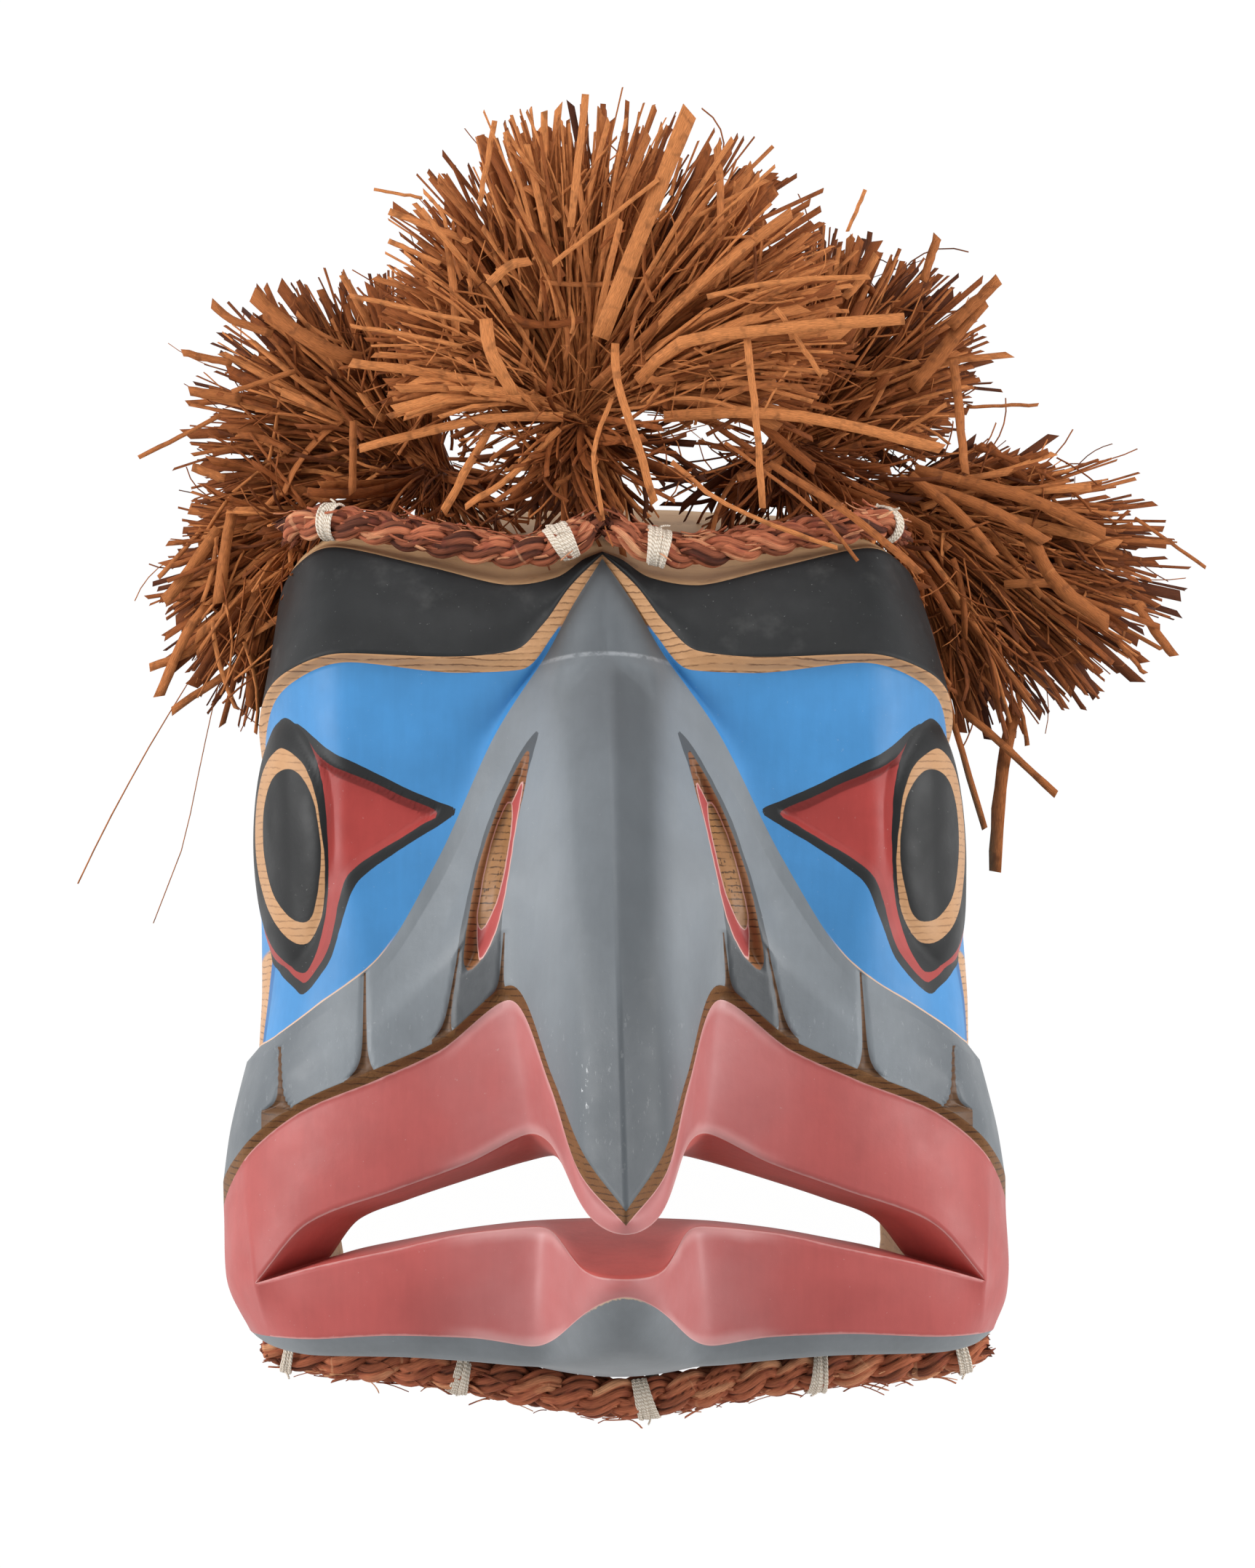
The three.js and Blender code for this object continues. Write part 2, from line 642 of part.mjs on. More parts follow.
const tufts = {
  tuft_centre: {
    foot: [-3, 300, 52], knot: [-9, 317, 62], from: 192, to: -12, points: 15, depth: 52,
    lean: 0.25, seed: 3,
    reaches: [77, 79, 79, 84, 96, 103, 107, 110, 110, 112, 115, 114, 108, 106, 112, 118],
    strays: [[[[98, 350, 108]], 4], [[[111, 307, 100]], 5], [[[-82, 337, 98]], 4],
      [[[-80, 394, 86]], 2.5]],
  },
  tuft_left_upper: {
    foot: [-52, 293, 24], knot: [-58, 304, 27], from: 182, to: 106, points: 10, depth: 36,
    lean: 0, seed: 17,
    reaches: [104, 94, 98, 98, 89, 76, 69],
    strays: [[[[-164, 308, 34]], 3]],
  },
  tuft_left_lower: {
    foot: [-86, 294, 24], knot: [-96, 291, 27], from: 232, to: 179, points: 10, depth: 34,
    lean: 0, seed: 29,
    reaches: [93, 87, 74, 66, 64, 66],
    strays: [[[[-138, 240, 24], [-187, 159, 20]], 1.6], [[[-132, 240, 22], [-158, 144, 18]], 1.6]],
  },
  tuft_right_upper: {
    foot: [54, 294, 24], knot: [61, 309, 27], from: 88, to: 9, points: 10, depth: 36,
    lean: 0, seed: 41,
    reaches: [71, 82, 94, 102, 96, 92, 94],
    strays: [[[[119, 387, 38]], 3]],
  },
  tuft_right_lower: {
    foot: [82, 292, 24], knot: [91, 297, 27], from: 11, to: -54, points: 11, depth: 36,
    lean: 0, seed: 53,
    reaches: [94, 100, 115, 127, 127, 123, 123],
    strays: [[[[125, 255, 27], [134, 215, 26], [139, 162, 24]], 6],
      [[[128, 250, 32], [135, 177, 34]], 3]],
  },
};

const greyWood = 0x6f7f89;
const plaitRed = 0x6b3a2a;
const barkBrown = 0x9c5a34;
const stringWhite = 0xe6e0d2;

function buildMask() {
  const group = new THREE.Group();
  group.name = 'kingfisher_mask';
  const mask = withEyes(carvedMask());
  group.add(named('mask', asCarved(mask), greyWood, 0.55));

  const crownOut = new THREE.Vector3(0, 0.92, 0.39);
  const chinOut = new THREE.Vector3(0, -1, 0.05);
  const left = crownRoute(-1, 104);
  const right = crownRoute(1, 100);
  const plaits = [
    ['plait_crown_left', left, crownOut, topBraidRadius, 11],
    ['plait_crown_right', right, crownOut, topBraidRadius, 11],
    ['plait_chin', chinRoute, chinOut, chinBraidRadius, 14],
  ];
  const aboveBrow = mask.translate([0, gap, 0.2]);
  const belowChin = mask.translate([0, -gap, 0]);
  const spaceFor = (outward) => (outward === crownOut ? aboveBrow : belowChin);
  for (const [name, route, outward, radius, lobe] of plaits) {
    const body = plait(route, outward, radius, lobe).subtract(spaceFor(outward));
    group.add(named(name, asCarved(body), plaitRed, 0.85));
  }

  const ties = [
    ['tie_crown_left_outer', left, 0.84, crownOut, topBraidRadius],
    ['tie_crown_left_inner', left, 0.12, crownOut, topBraidRadius],
    ['tie_crown_right_inner', right, 0.16, crownOut, topBraidRadius],
    ['tie_crown_right_outer', right, 0.93, crownOut, topBraidRadius],
    ['tie_chin_1', chinRoute, 0.035, chinOut, chinBraidRadius],
    ['tie_chin_2', chinRoute, 0.27, chinOut, chinBraidRadius],
    ['tie_chin_3', chinRoute, 0.53, chinOut, chinBraidRadius],
    ['tie_chin_4', chinRoute, 0.76, chinOut, chinBraidRadius],
    ['tie_chin_5', chinRoute, 0.965, chinOut, chinBraidRadius],
  ];
  for (const [name, route, t, outward, radius] of ties) {
    const body = tieOver(route, t, outward, radius).subtract(spaceFor(outward));
    group.add(named(name, asCarved(body), stringWhite, 0.9));
  }

  const besideTufts = asCarved(aboveBrow);
  for (const [name, shape] of Object.entries(tufts)) {
    group.add(named(name, barkTuft(shape).subtract(besideTufts), barkBrown, 0.9));
  }
  return group;
}

export default buildMask();
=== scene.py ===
# Kingfisher mask: the dressed model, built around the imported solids. Lengths are in mm unless a note says
# otherwise.
import bmesh
import bpy
import math
import numpy as np
from mathutils import Matrix, Vector


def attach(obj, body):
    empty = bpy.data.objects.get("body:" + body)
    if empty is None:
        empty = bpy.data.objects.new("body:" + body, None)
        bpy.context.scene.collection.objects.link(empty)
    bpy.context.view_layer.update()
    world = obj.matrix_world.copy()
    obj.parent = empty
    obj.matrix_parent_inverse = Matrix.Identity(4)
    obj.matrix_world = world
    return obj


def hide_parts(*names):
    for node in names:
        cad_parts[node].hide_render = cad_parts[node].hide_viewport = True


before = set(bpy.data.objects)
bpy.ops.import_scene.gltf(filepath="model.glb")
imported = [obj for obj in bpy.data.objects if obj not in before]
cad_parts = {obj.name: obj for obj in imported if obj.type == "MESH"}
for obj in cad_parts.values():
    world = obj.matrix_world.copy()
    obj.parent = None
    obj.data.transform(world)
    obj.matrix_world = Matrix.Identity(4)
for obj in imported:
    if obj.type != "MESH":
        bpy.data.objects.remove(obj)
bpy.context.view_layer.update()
mm = 0.001

view = {
    "place": (-0.042, 0.1947, 1.600),  # metres, above the mask as it lies
    "turn": 1.80,                      # degrees towards the viewer's right
    "lens": 103.69, "sensor": 36,
    "clip": 20,                        # metres
}


def setCamera():
    # looks straight down at the mask, turned a little about its own up axis
    data = bpy.data.cameras.new("photoCamera")
    data.lens, data.sensor_width, data.clip_end = view["lens"], view["sensor"], view["clip"]
    camera = bpy.data.objects.new("photoCamera", data)
    turned = Matrix.Rotation(-math.radians(view["turn"]), 4, "Y")
    camera.matrix_world = Matrix.Translation(view["place"]) @ turned
    bpy.context.scene.collection.objects.link(camera)
    bpy.context.scene.camera = camera


setCamera()
print("camera set")


def unit(vectors):
    return vectors / np.maximum(np.linalg.norm(vectors, axis=-1, keepdims=True), 1e-9)


def wayAlong(lines):
    # length run so far at every point of a line, or of many lines at once
    steps = np.linalg.norm(np.diff(lines, axis=-2), axis=-1)
    return np.concatenate([np.zeros(steps.shape[:-1] + (1,)), np.cumsum(steps, axis=-1)], axis=-1)


def smoothStep(low, high, value):
    # 3t^2 - 2t^3 between low and high
    t = np.clip((value - low) / (high - low), 0, 1)
    return t * t * (3 - 2 * t)


def smoothCurve(knots, values, at):
    # cubic through the knots whose slope at each knot is the harmonic mean of its neighbours, so that it
    # never overshoots
    knots, values = np.asarray(knots, float), np.asarray(values, float)
    step = np.diff(knots).reshape((-1,) + (1,) * (values.ndim - 1))
    slope = np.diff(values, axis=0) / step
    tangent = np.zeros_like(values)
    tangent[0], tangent[-1] = slope[0], slope[-1]
    a, b = 2 * step[1:] + step[:-1], step[1:] + 2 * step[:-1]
    same = slope[:-1] * slope[1:] > 0
    safe0, safe1 = np.where(same, slope[:-1], 1.0), np.where(same, slope[1:], 1.0)
    tangent[1:-1] = np.where(same, (a + b) / (a / safe0 + b / safe1), 0.0)
    i = np.clip(np.searchsorted(knots, at, side="left") - 1, 0, len(knots) - 2)
    h = step[i]
    u = ((at - knots[i]) / np.diff(knots)[i]).reshape((-1,) + (1,) * (values.ndim - 1))
    return ((1 + 2 * u) * (1 - u) ** 2 * values[i] + u * (1 - u) ** 2 * h * tangent[i]
            + u * u * (3 - 2 * u) * values[i + 1] + u * u * (u - 1) * h * tangent[i + 1])


def throughFour(p0, p1, p2, p3, u):
    # cubic from p1 to p2 with the slopes (p2 - p0) / 2 and (p3 - p1) / 2
    return 0.5 * (2 * p1 + (p2 - p0) * u + (2 * p0 - 5 * p1 + 4 * p2 - p3) * u ** 2
                  + (3 * p1 - p0 - 3 * p2 + p3) * u ** 3)


def closedCurve(points, count):
    p = np.asarray(points, float)
    t = np.linspace(0, len(p), count, endpoint=False)
    i = np.floor(t).astype(int)
    return throughFour(*(p[(i + k) % len(p)] for k in (-1, 0, 1, 2)), (t - i)[:, None])


def outlineDistance(px, py, ring):
    # signed distance to a closed outline, negative inside: nearest point on any side, sign by crossings
    near = np.full(px.shape, 1e9)
    crossings = np.zeros(px.shape, int)
    for (ax, ay), (bx, by) in zip(ring, np.roll(ring, -1, axis=0)):
        dx, dy = bx - ax, by - ay
        u = np.clip(((px - ax) * dx + (py - ay) * dy) / (dx * dx + dy * dy + 1e-12), 0, 1)
        near = np.minimum(near, np.hypot(px - ax - u * dx, py - ay - u * dy))
        if abs(dy) > 1e-9:
            crossings += ((ay > py) != (by > py)) & (px < ax + (py - ay) * dx / dy)
    return np.where(crossings % 2 == 1, -near, near)


def gridFaces(rows, columns, start, flipped):
    # quads of a grid of points numbered row by row from start
    j, i = np.meshgrid(np.arange(rows - 1), np.arange(columns - 1), indexing="ij")
    a = (start + j * columns + i).ravel()
    quads = np.column_stack([a, a + 1, a + columns + 1, a + columns])
    return quads[:, ::-1] if flipped else quads


stations = np.array([0, 0.11, 0.22, 0.34, 0.46, 0.58, 0.70, 0.80, 0.90, 1.0])
mouthCorner = 7
# the carver's axis runs left towards the crown: mm of x for each mm of y, and the y where it crosses x = 0
lean, leanLevel = 0.0226, 140
# how far the rim sits to the right of a true mirror image: y, shift in mm
rimDrift = np.array([(-60, 2.3), (0, 2.3), (15, 1.7), (28, 0.7), (60, 0.6), (100, 1.1), (125, 2.2),
                     (140, 2.1), (165, 1.5), (240, 1.3), (275, 0), (400, 0)], float)

# each outline runs from the middle of the face round the side to the back rim
outlines = {
    "crownRim": [(0, 292, 0), (12, 292, 0), (26, 291.8, 0), (42, 291, 0), (62, 290, 0), (84, 287, 0),
        (99, 280, 0), (107, 270, 0), (112, 260, 0), (115, 250, 0)],
    "browTop": [(0, 272.5, 90), (6, 270, 91), (16, 263.5, 94), (31, 261, 96), (58, 267, 95),
        (90, 274, 86), (103, 268.5, 70), (109.5, 260, 52), (113, 251, 28), (116, 243, 0)],
    "browLow": [(0, 271.4, 91), (11, 260.6, 96), (20.3, 248.0, 100), (31, 238.7, 106), (53, 236.6, 112),
        (86, 237.8, 109), (106, 232.5, 97), (115.3, 225, 75), (119.6, 214, 42), (121, 204, 0)],
    "socketTop": [(0, 270.8, 89.5), (9.3, 257, 92.5), (17.2, 244.3, 95), (28.5, 232.6, 100.5),
        (50, 231.5, 105.2), (85, 235, 103.5), (104.5, 229, 91), (113.3, 221, 70), (117.6, 208, 40),
        (119, 197, 0)],
    "eyeLine": [(0, 270.5, 89.2), (10, 255.5, 92.2), (18.2, 241.7, 95), (32, 223, 99), (55.5, 203, 103),
        (86, 186, 104), (102, 176, 91), (113.3, 168, 68), (120.8, 160, 36), (118.4, 150, 0)],
    "beakFoot": [(0, 270.2, 89), (10.5, 254, 92.5), (18.8, 239, 96), (36.7, 212, 103), (57, 170, 106),
        (78, 136.5, 107), (100, 120.5, 100), (114.5, 110, 86), (121.4, 104, 50), (120.6, 99, 0)],
    "beakUpper": [(0, 239, 97), (10.9, 228, 105.5), (19.2, 218, 110), (36.3, 199.5, 107.5),
        (57, 161, 107.5), (78, 131, 108.5), (101, 116, 101.3), (116.8, 105, 87.5), (125.6, 99, 50),
        (122.5, 92, 0)],
    "beakMiddle": [(0, 200, 134), (11.4, 193, 133.5), (19.8, 191, 127.5), (35.8, 183, 115.5),
        (57.2, 149, 111.5), (78.3, 124, 110.5), (102, 109.5, 102.6), (118.6, 97.5, 89), (128.2, 89, 50),
        (125.5, 81, 0)],
    "beakLower": [(0, 137, 169), (12.1, 140, 161), (20.5, 149.5, 146.5), (34.9, 158, 127.5),
        (57.3, 132, 117), (78.7, 113.5, 113), (104, 100, 104), (121.8, 86.5, 90), (131.6, 74, 49.5),
        (129, 64, 0)],
    "greyEdge": [(0, 61.3, 192), (13, 79, 178), (21.5, 101, 156), (34, 129, 126), (57.5, 111, 118),
        (79, 101, 114), (106, 89, 104), (124.6, 74, 88), (134.2, 57, 48), (131, 48, 0)],
    "redEdge": [(0, 56.5, 188), (14, 72, 169), (22.3, 98, 149), (34.5, 124, 122), (58, 107, 115),
        (79.5, 97, 111), (106, 85.5, 101), (125.5, 68, 84), (134.4, 48, 45), (131.5, 40, 0)],
    "upperLip": [(0, 51.5, 186), (13, 58, 174), (20, 76, 148), (28, 80.5, 124), (50, 70, 118),
        (74, 61, 114), (103, 49.5, 106), (121.5, 29, 98), (132.6, 22, 58), (129.3, 18, 0)],
    "lowerLip": [(0, 37.2, 168), (12, 37.6, 158), (17.5, 43.5, 138), (25, 49.3, 117), (50, 46.8, 113),
        (74, 41.5, 111), (103, 34.8, 106), (121.5, 29, 98), (132.6, 22, 58), (129.3, 18, 0)],
    "chinLine": [(0, 33.3, 166), (13, 25, 150), (21.5, 13.5, 124), (30, 9.9, 116), (50, 12.4, 113),
        (74, 13, 111), (103, 11, 103), (119.4, 10, 86), (127.8, 8, 46), (126, 9, 0)],
    "chinUpper": [(0, 12, 146), (13, 8, 134), (22.5, 4, 114), (32, 2, 104), (52, 3.5, 102), (76, 4.5, 99),
        (104, 4, 90), (118.3, 5, 74), (126.2, 6, 38), (125.8, 8, 0)],
    "chinMiddle": [(0, -3, 92), (13.5, -3, 86), (25, -2.5, 74), (37, -1, 66), (57, 1, 62), (80, 2.5, 60),
        (104, 2.5, 54), (116.5, 3.5, 46), (123, 5, 22), (125.2, 7.2, 0)],
    "chinRim": [(0, -15, 0), (14, -13.8, 0), (27, -11.6, 0), (40, -8.8, 0), (60, -4.8, 0), (82, -2.2, 0),
        (101, 0, 0), (113.5, 2, 0), (120.4, 4, 0), (124.6, 6.5, 0)],
    "throatUpper": [(0, 71, 90), (13, 71, 90), (21, 70.5, 90), (30, 68.5, 90), (51, 62, 89),
        (70, 55.5, 87), (86, 49, 84), (97, 35.4, 78), (97, 34.2, 40), (95.5, 33, 0)],
    "throatLower": [(0, 49.5, 88), (13, 49.3, 88), (21, 49, 88), (30, 48.5, 88), (51, 46, 87),
        (70, 42.5, 86), (86, 39, 83), (97, 35.4, 78), (97, 34.2, 40), (95.5, 33, 0)],
}
openOutlines = ("upperLip", "lowerLip", "throatUpper", "throatLower")
# arches of the hollow: half width, depth, y in the middle, y at the sides
hollowArches = {
    "hollowTop": (91, 0, 268, 228), "hollowBrow": (92, 66, 255, 214),
    "hollowEyes": (94, 86, 168, 156), "hollowChin": (94.5, 0, 11, 26),
}


def leaned(points):
    # x shifted in proportion to the height above leanLevel, and the rim by its own drift
    moved = np.array(points, float)
    x, y = moved[..., 0], moved[..., 1]
    drift = smoothCurve(rimDrift[:, 0], rimDrift[:, 1], y.ravel()).reshape(y.shape)
    moved[..., 0] = x + smoothStep(85, 118, np.abs(x)) * drift - lean * (y - leanLevel)
    return moved


def archOutline(halfWidth, depth, yMiddle, ySide):
    # a flattened half ellipse: x = width sin^0.92, z = depth cos^0.55
    angle = stations * math.pi / 2
    x = halfWidth * np.sin(angle) ** 0.92
    z = np.where(stations < 1, depth * np.maximum(np.cos(angle), 0) ** 0.55, 0)
    return np.column_stack([x, yMiddle + (ySide - yMiddle) * stations ** 2.6, z])


outlines.update({name: archOutline(*size) for name, size in hollowArches.items()})


def outlineAt(name, across):
    # the outline at places -1 (left rim) to 1 (right rim); the mouth outlines have a corner
    points, a = np.asarray(outlines[name], float), np.abs(across)
    if name in openOutlines:
        k = mouthCorner
        front = smoothCurve(stations[:k + 1], points[:k + 1], np.minimum(a, stations[k]))
        side = smoothCurve(stations[k:], points[k:], np.maximum(a, stations[k]))
        out = np.where((a < stations[k])[:, None], front, side)
    else:
        out = smoothCurve(stations, points, a)
    out[:, 0] *= np.where(across < 0, -1, 1)
    return out


def loft(names, places, across, down, bulge):
    # outlines blended downwards by smooth cubics, raised in the middle by bulge * sin(pi t)
    curves = np.stack([outlineAt(name, across) for name in names])
    rows = smoothCurve(places, curves.reshape(len(names), -1), down).reshape(len(down), len(across), 3)
    swell = bulge * np.sin(math.pi * down)[:, None] * (1 - np.abs(across) ** 6)[None, :]
    rows[..., 2] += np.where(rows[..., 2] > 0, swell, 0)
    return rows


# outline names, their places down the sheet, rows, swell, whether its faces are turned round, finish
faceSheets = [
    (["crownRim", "browTop"], [0, 1], 14, 3, True, "crownWood"),
    (["browTop", "browLow"], [0, 1], 22, 2, True, "browPaint"),
    (["browLow", "socketTop"], [0, 1], 4, 0, True, "bevelWood"),
    (["socketTop", "eyeLine", "beakFoot"], [0, 0.5, 1], 72, 0, True, "socketPaint"),
    (["beakFoot", "beakUpper"], [0, 1], 14, 0, True, "beakPaint"),
    (["beakUpper", "beakMiddle", "beakLower", "greyEdge"], [0, 0.235, 0.588, 1], 78, 0, True, "beakPaint"),
    (["greyEdge", "redEdge"], [0, 1], 4, 0, True, "grooveWood"),
    (["redEdge", "upperLip"], [0, 1], 16, 1.5, True, "lipPaint"),
    (["lowerLip", "chinLine"], [0, 1], 14, 1.5, True, "lipPaint"),
    (["chinLine", "chinUpper", "chinMiddle", "chinRim"], [0, 0.15, 0.45, 1], 22, 0, True, "chinPaint"),
    (["upperLip", "throatUpper"], [0, 1], 14, 0, True, "mouthPaint"),
    (["lowerLip", "throatLower"], [0, 1], 14, 0, False, "mouthPaint"),
    (["hollowTop", "hollowBrow", "hollowEyes", "throatUpper"], [0, 0.16, 0.55, 1], 20, 0, False,
     "hollowWood"),
    (["throatLower", "hollowChin"], [0, 1], 8, 6, False, "hollowWood"),
]
lipSheets = (7, 8)
# sheets whose middle is rounded off across the face, with the share at the first and at the last row
softSheets = {7: (0, 1), 8: (1, 1), 9: (1, 1), 10: (1, 1), 11: (1, 1), 12: (0, 1), 13: (1, 1)}
columnCounts = [11, 8, 16, 20, 20, 21, 16, 16, 10]

# marks on half of the face: the way round it, which is x in front and runs on down the eye wall, then y
faceMarks = {
    "trigonBorder": [(116, 215), (95, 206.6), (81, 200.3), (67, 193.4), (57.5, 189.3), (50.5, 186),
        (55, 182), (67.5, 174.3), (80, 165.7), (85, 160.5), (88.6, 151.4), (92, 142), (97, 134.5),
        (110, 125), (118, 127), (130, 131.5), (140, 138), (130, 165), (124, 200)],
    "trigon": [(111.5, 212), (99, 203.6), (86.3, 198.5), (76.7, 194.6), (67, 190), (56.5, 185.2),
        (62.5, 181), (70, 176.3), (79.7, 170.5), (87, 164.5), (90.3, 156), (93.2, 146.6), (98, 138),
        (108.5, 129.2), (114, 129.4), (123, 132.8), (139.5, 140.5), (132, 165), (121, 200)],
    "eyeBlack": [(119.4, 216.5), (106.5, 210), (98.9, 197.5), (95.8, 183), (95.3, 168), (97, 154),
        (101.4, 142), (107.6, 133.5), (112.7, 131.8), (120.7, 134), (133.2, 141), (144.3, 153),
        (150.5, 168), (151.8, 182), (149.6, 197), (142.5, 208), (130, 215)],
    "eyeRing": [(117.1, 206.4), (106.7, 201.3), (100.1, 190.3), (97.2, 175.7), (96.8, 166), (98.9, 154),
        (102.8, 146.6), (109.1, 141.5), (117.4, 143.5), (130.4, 153.5), (139, 164.4), (141.9, 175.6),
        (140, 188), (132.6, 199.2), (123.7, 205.3)],
    "pupil": [(112.8, 199.7), (105.6, 196.4), (100.3, 187.8), (98, 175.7), (98.4, 166), (101, 156.3),
        (104.2, 150.2), (108.3, 148.7), (114.5, 150.8), (124.6, 158.5), (130.9, 168.3), (132.3, 178),
        (129.8, 188), (122.7, 196.6)],
    "nostrilLeaf": [(23, 212.5), (28.3, 206.5), (34, 196), (39.6, 184), (43.6, 172), (47.5, 158),
        (50.6, 143.7), (52.3, 131.7), (54.2, 118), (52.6, 114.6), (48.6, 118), (43.7, 122.6),
        (38.2, 127.6), (37.3, 138.7), (36.6, 148.3), (35.2, 160), (32.2, 176.8), (28.3, 193.4),
        (24.5, 206)],
    "nostril": [(26.2, 206), (30.4, 200), (35.4, 190), (39.8, 179.3), (43.8, 167.4), (46.5, 155.5),
        (48.5, 143.7), (49.2, 136.5), (47.9, 133.6), (45.7, 134.8), (42.3, 138.8), (38.6, 146),
        (35.8, 155.5), (33.5, 167.3), (30.9, 181.5), (27.6, 195)],
    "nostrilRed": [(28.2, 196), (32.4, 188.5), (35.6, 180), (39.8, 168), (43.1, 156), (44.8, 147),
        (44.2, 137.2), (42.3, 138.8), (38.6, 146), (35.8, 155.5), (33.5, 167.3), (30.9, 181.5)],
    "nostrilOval": [(32.6, 188.5), (34.8, 186.4), (38.2, 178), (41.1, 167.4), (43.4, 156.7),
        (44.3, 150.3), (43.4, 147), (41.6, 148.8), (38.4, 155.5), (36.2, 162.6), (34.7, 169.7),
        (32.6, 181.6)],
}

# thin cuts up from the lip groove: x and y of the tip, x and y of the foot, half widths at tip, foot and
# mouth of the flare
faceCuts = {
    "cheekCutInner": (82.0, 132.0, 82.6, 100.0, 0.34, 0.85, 3.4),
    "cheekCutOuter": (113.0, 107.0, 112.4, 88.0, 0.45, 1.0, 3.2),
    "nostrilCutOuter": (50.6, 140.5, 55.6, 113.5, 0.22, 0.8, 2.2),
    "nostrilCutInner": (35.8, 146.0, 37.4, 126.0, 0.22, 0.8, 2.6),
}

faceRelief = {
    "nostrilDepth": 4.6, "nostrilSlope": 3.4,      # a bowl with sloping walls
    "trigonDepth": 2.6, "trigonSlope": 1.6,
    "cutDepth": 1.8, "cutRunOut": 1.5,             # how far a cut goes on below its foot
    "eyeCentre": (126, 174), "eyeRadii": (31, 41), "eyeSwell": 6.2,
    "hoodSwell": 1.5, "hoodTop": 238.5, "hoodFall": 0.0075,     # ridge under an arc y = top - fall x^2
    "softTurns": 30, "softReach": 34,              # the rounding of the middle
}
# the wall beside the eye: where it leaves the front, its run outwards and back, and its outward direction
wall = {"x": 93, "z": 104, "out": 31, "back": 59, "length": 66.6, "aside": 0.885, "forward": 0.535}


def faceColumns():
    # places across the face, mirrored, finer where there is carving
    spans = [np.linspace(a, b, n, endpoint=False)
             for a, b, n in zip(stations[:-1], stations[1:], columnCounts)]
    half = np.concatenate(spans + [[1.0]])
    return np.concatenate([-half[:0:-1], half])


def edgeDistance(rows):
    # way down each column to the nearer of its two ends
    way = wayAlong(rows.swapaxes(0, 1)).T
    return np.minimum(way, way[-1] - way)


def pastCorner(rows):
    # distance past the corner where the front turns into the eye wall, negative on the front
    x, z = np.abs(rows[..., 0]), rows[..., 2]
    return ((x - wall["x"]) * wall["out"] + (wall["z"] - z) * wall["back"]) / wall["length"]


def carvingWay(rows):
    # outward direction for carving, from the place alone so that neighbouring sheets agree:
    # straight out of the face in front, turning sideways past the corner of the eye wall
    turn = smoothStep(-4, 14, pastCorner(rows))
    return unit(np.stack([wall["aside"] * turn * np.sign(rows[..., 0]), np.zeros_like(turn),
                          1 - wall["forward"] * turn], axis=-1))


def joinedCheek(upper, lower, across):
    # past the mouth corner the two lip sheets meet in one smooth curve: each is bent by a cubic
    # so that both leave their shared line in the direction from the top edge to the bottom edge
    corner = stations[mouthCorner]
    weight = smoothStep(corner, corner + 0.05, np.abs(across))[None, :, None]
    top, middle, bottom = upper[0], upper[-1], lower[-1]
    a, b = np.linalg.norm(middle - top, axis=1)[:, None], np.linalg.norm(bottom - middle, axis=1)[:, None]
    slope = (b / a * (middle - top) + a / b * (bottom - middle)) / (a + b)
    t = np.linspace(0, 1, len(upper))[:, None, None]
    bentUpper = upper + weight * (t * t * (t - 1)) * (slope * a - (middle - top))
    t = np.linspace(0, 1, len(lower))[:, None, None]
    bentLower = lower + weight * (t * (1 - t) ** 2) * (slope * b - (bottom - middle))
    return bentUpper, bentLower


def rounded(rows, first, last):
    # takes the edge off along the middle: each row is averaged with its neighbours across the face,
    # (left + 2 own + right) / 4, many times over, fading out towards the sides
    reach = faceRelief["softReach"]
    share = smoothStep(reach, reach * 0.4, np.abs(rows[..., :1]))
    share = share * np.linspace(first, last, len(rows))[:, None, None]
    for turn in range(faceRelief["softTurns"]):
        both = np.concatenate([rows[:, :1], rows, rows[:, -1:]], axis=1)
        mean = 0.25 * both[:, :-2] + 0.5 * both[:, 1:-1] + 0.25 * both[:, 2:]
        rows = rows + share * (mean - rows)
    return rows


def cutDistance(x, y, cut):
    # distance outside a cut whose half width grows evenly and flares by the ninth power near its foot
    tipX, tipY, footX, footY, tipHalf, footHalf, flare = cut
    t = np.clip((tipY - y) / (tipY - footY), 0, 1.1)
    half = tipHalf + (footHalf - tipHalf) * t + (flare - footHalf) * t ** 9
    beside = np.abs(x - tipX - (footX - tipX) * t) - half
    return np.maximum(np.maximum(beside, y - tipY), footY - faceRelief["cutRunOut"] - y)


def marksAt(rows, around):
    # signed distance of every point to every mark, its x before the lean, and its way to the sheet's edge
    marks = {name: outlineDistance(around, rows[..., 1], closedCurve(points, 96))
             for name, points in faceMarks.items()}
    marks["drawn"], marks["edge"] = np.abs(rows[..., 0]), edgeDistance(rows)
    return marks


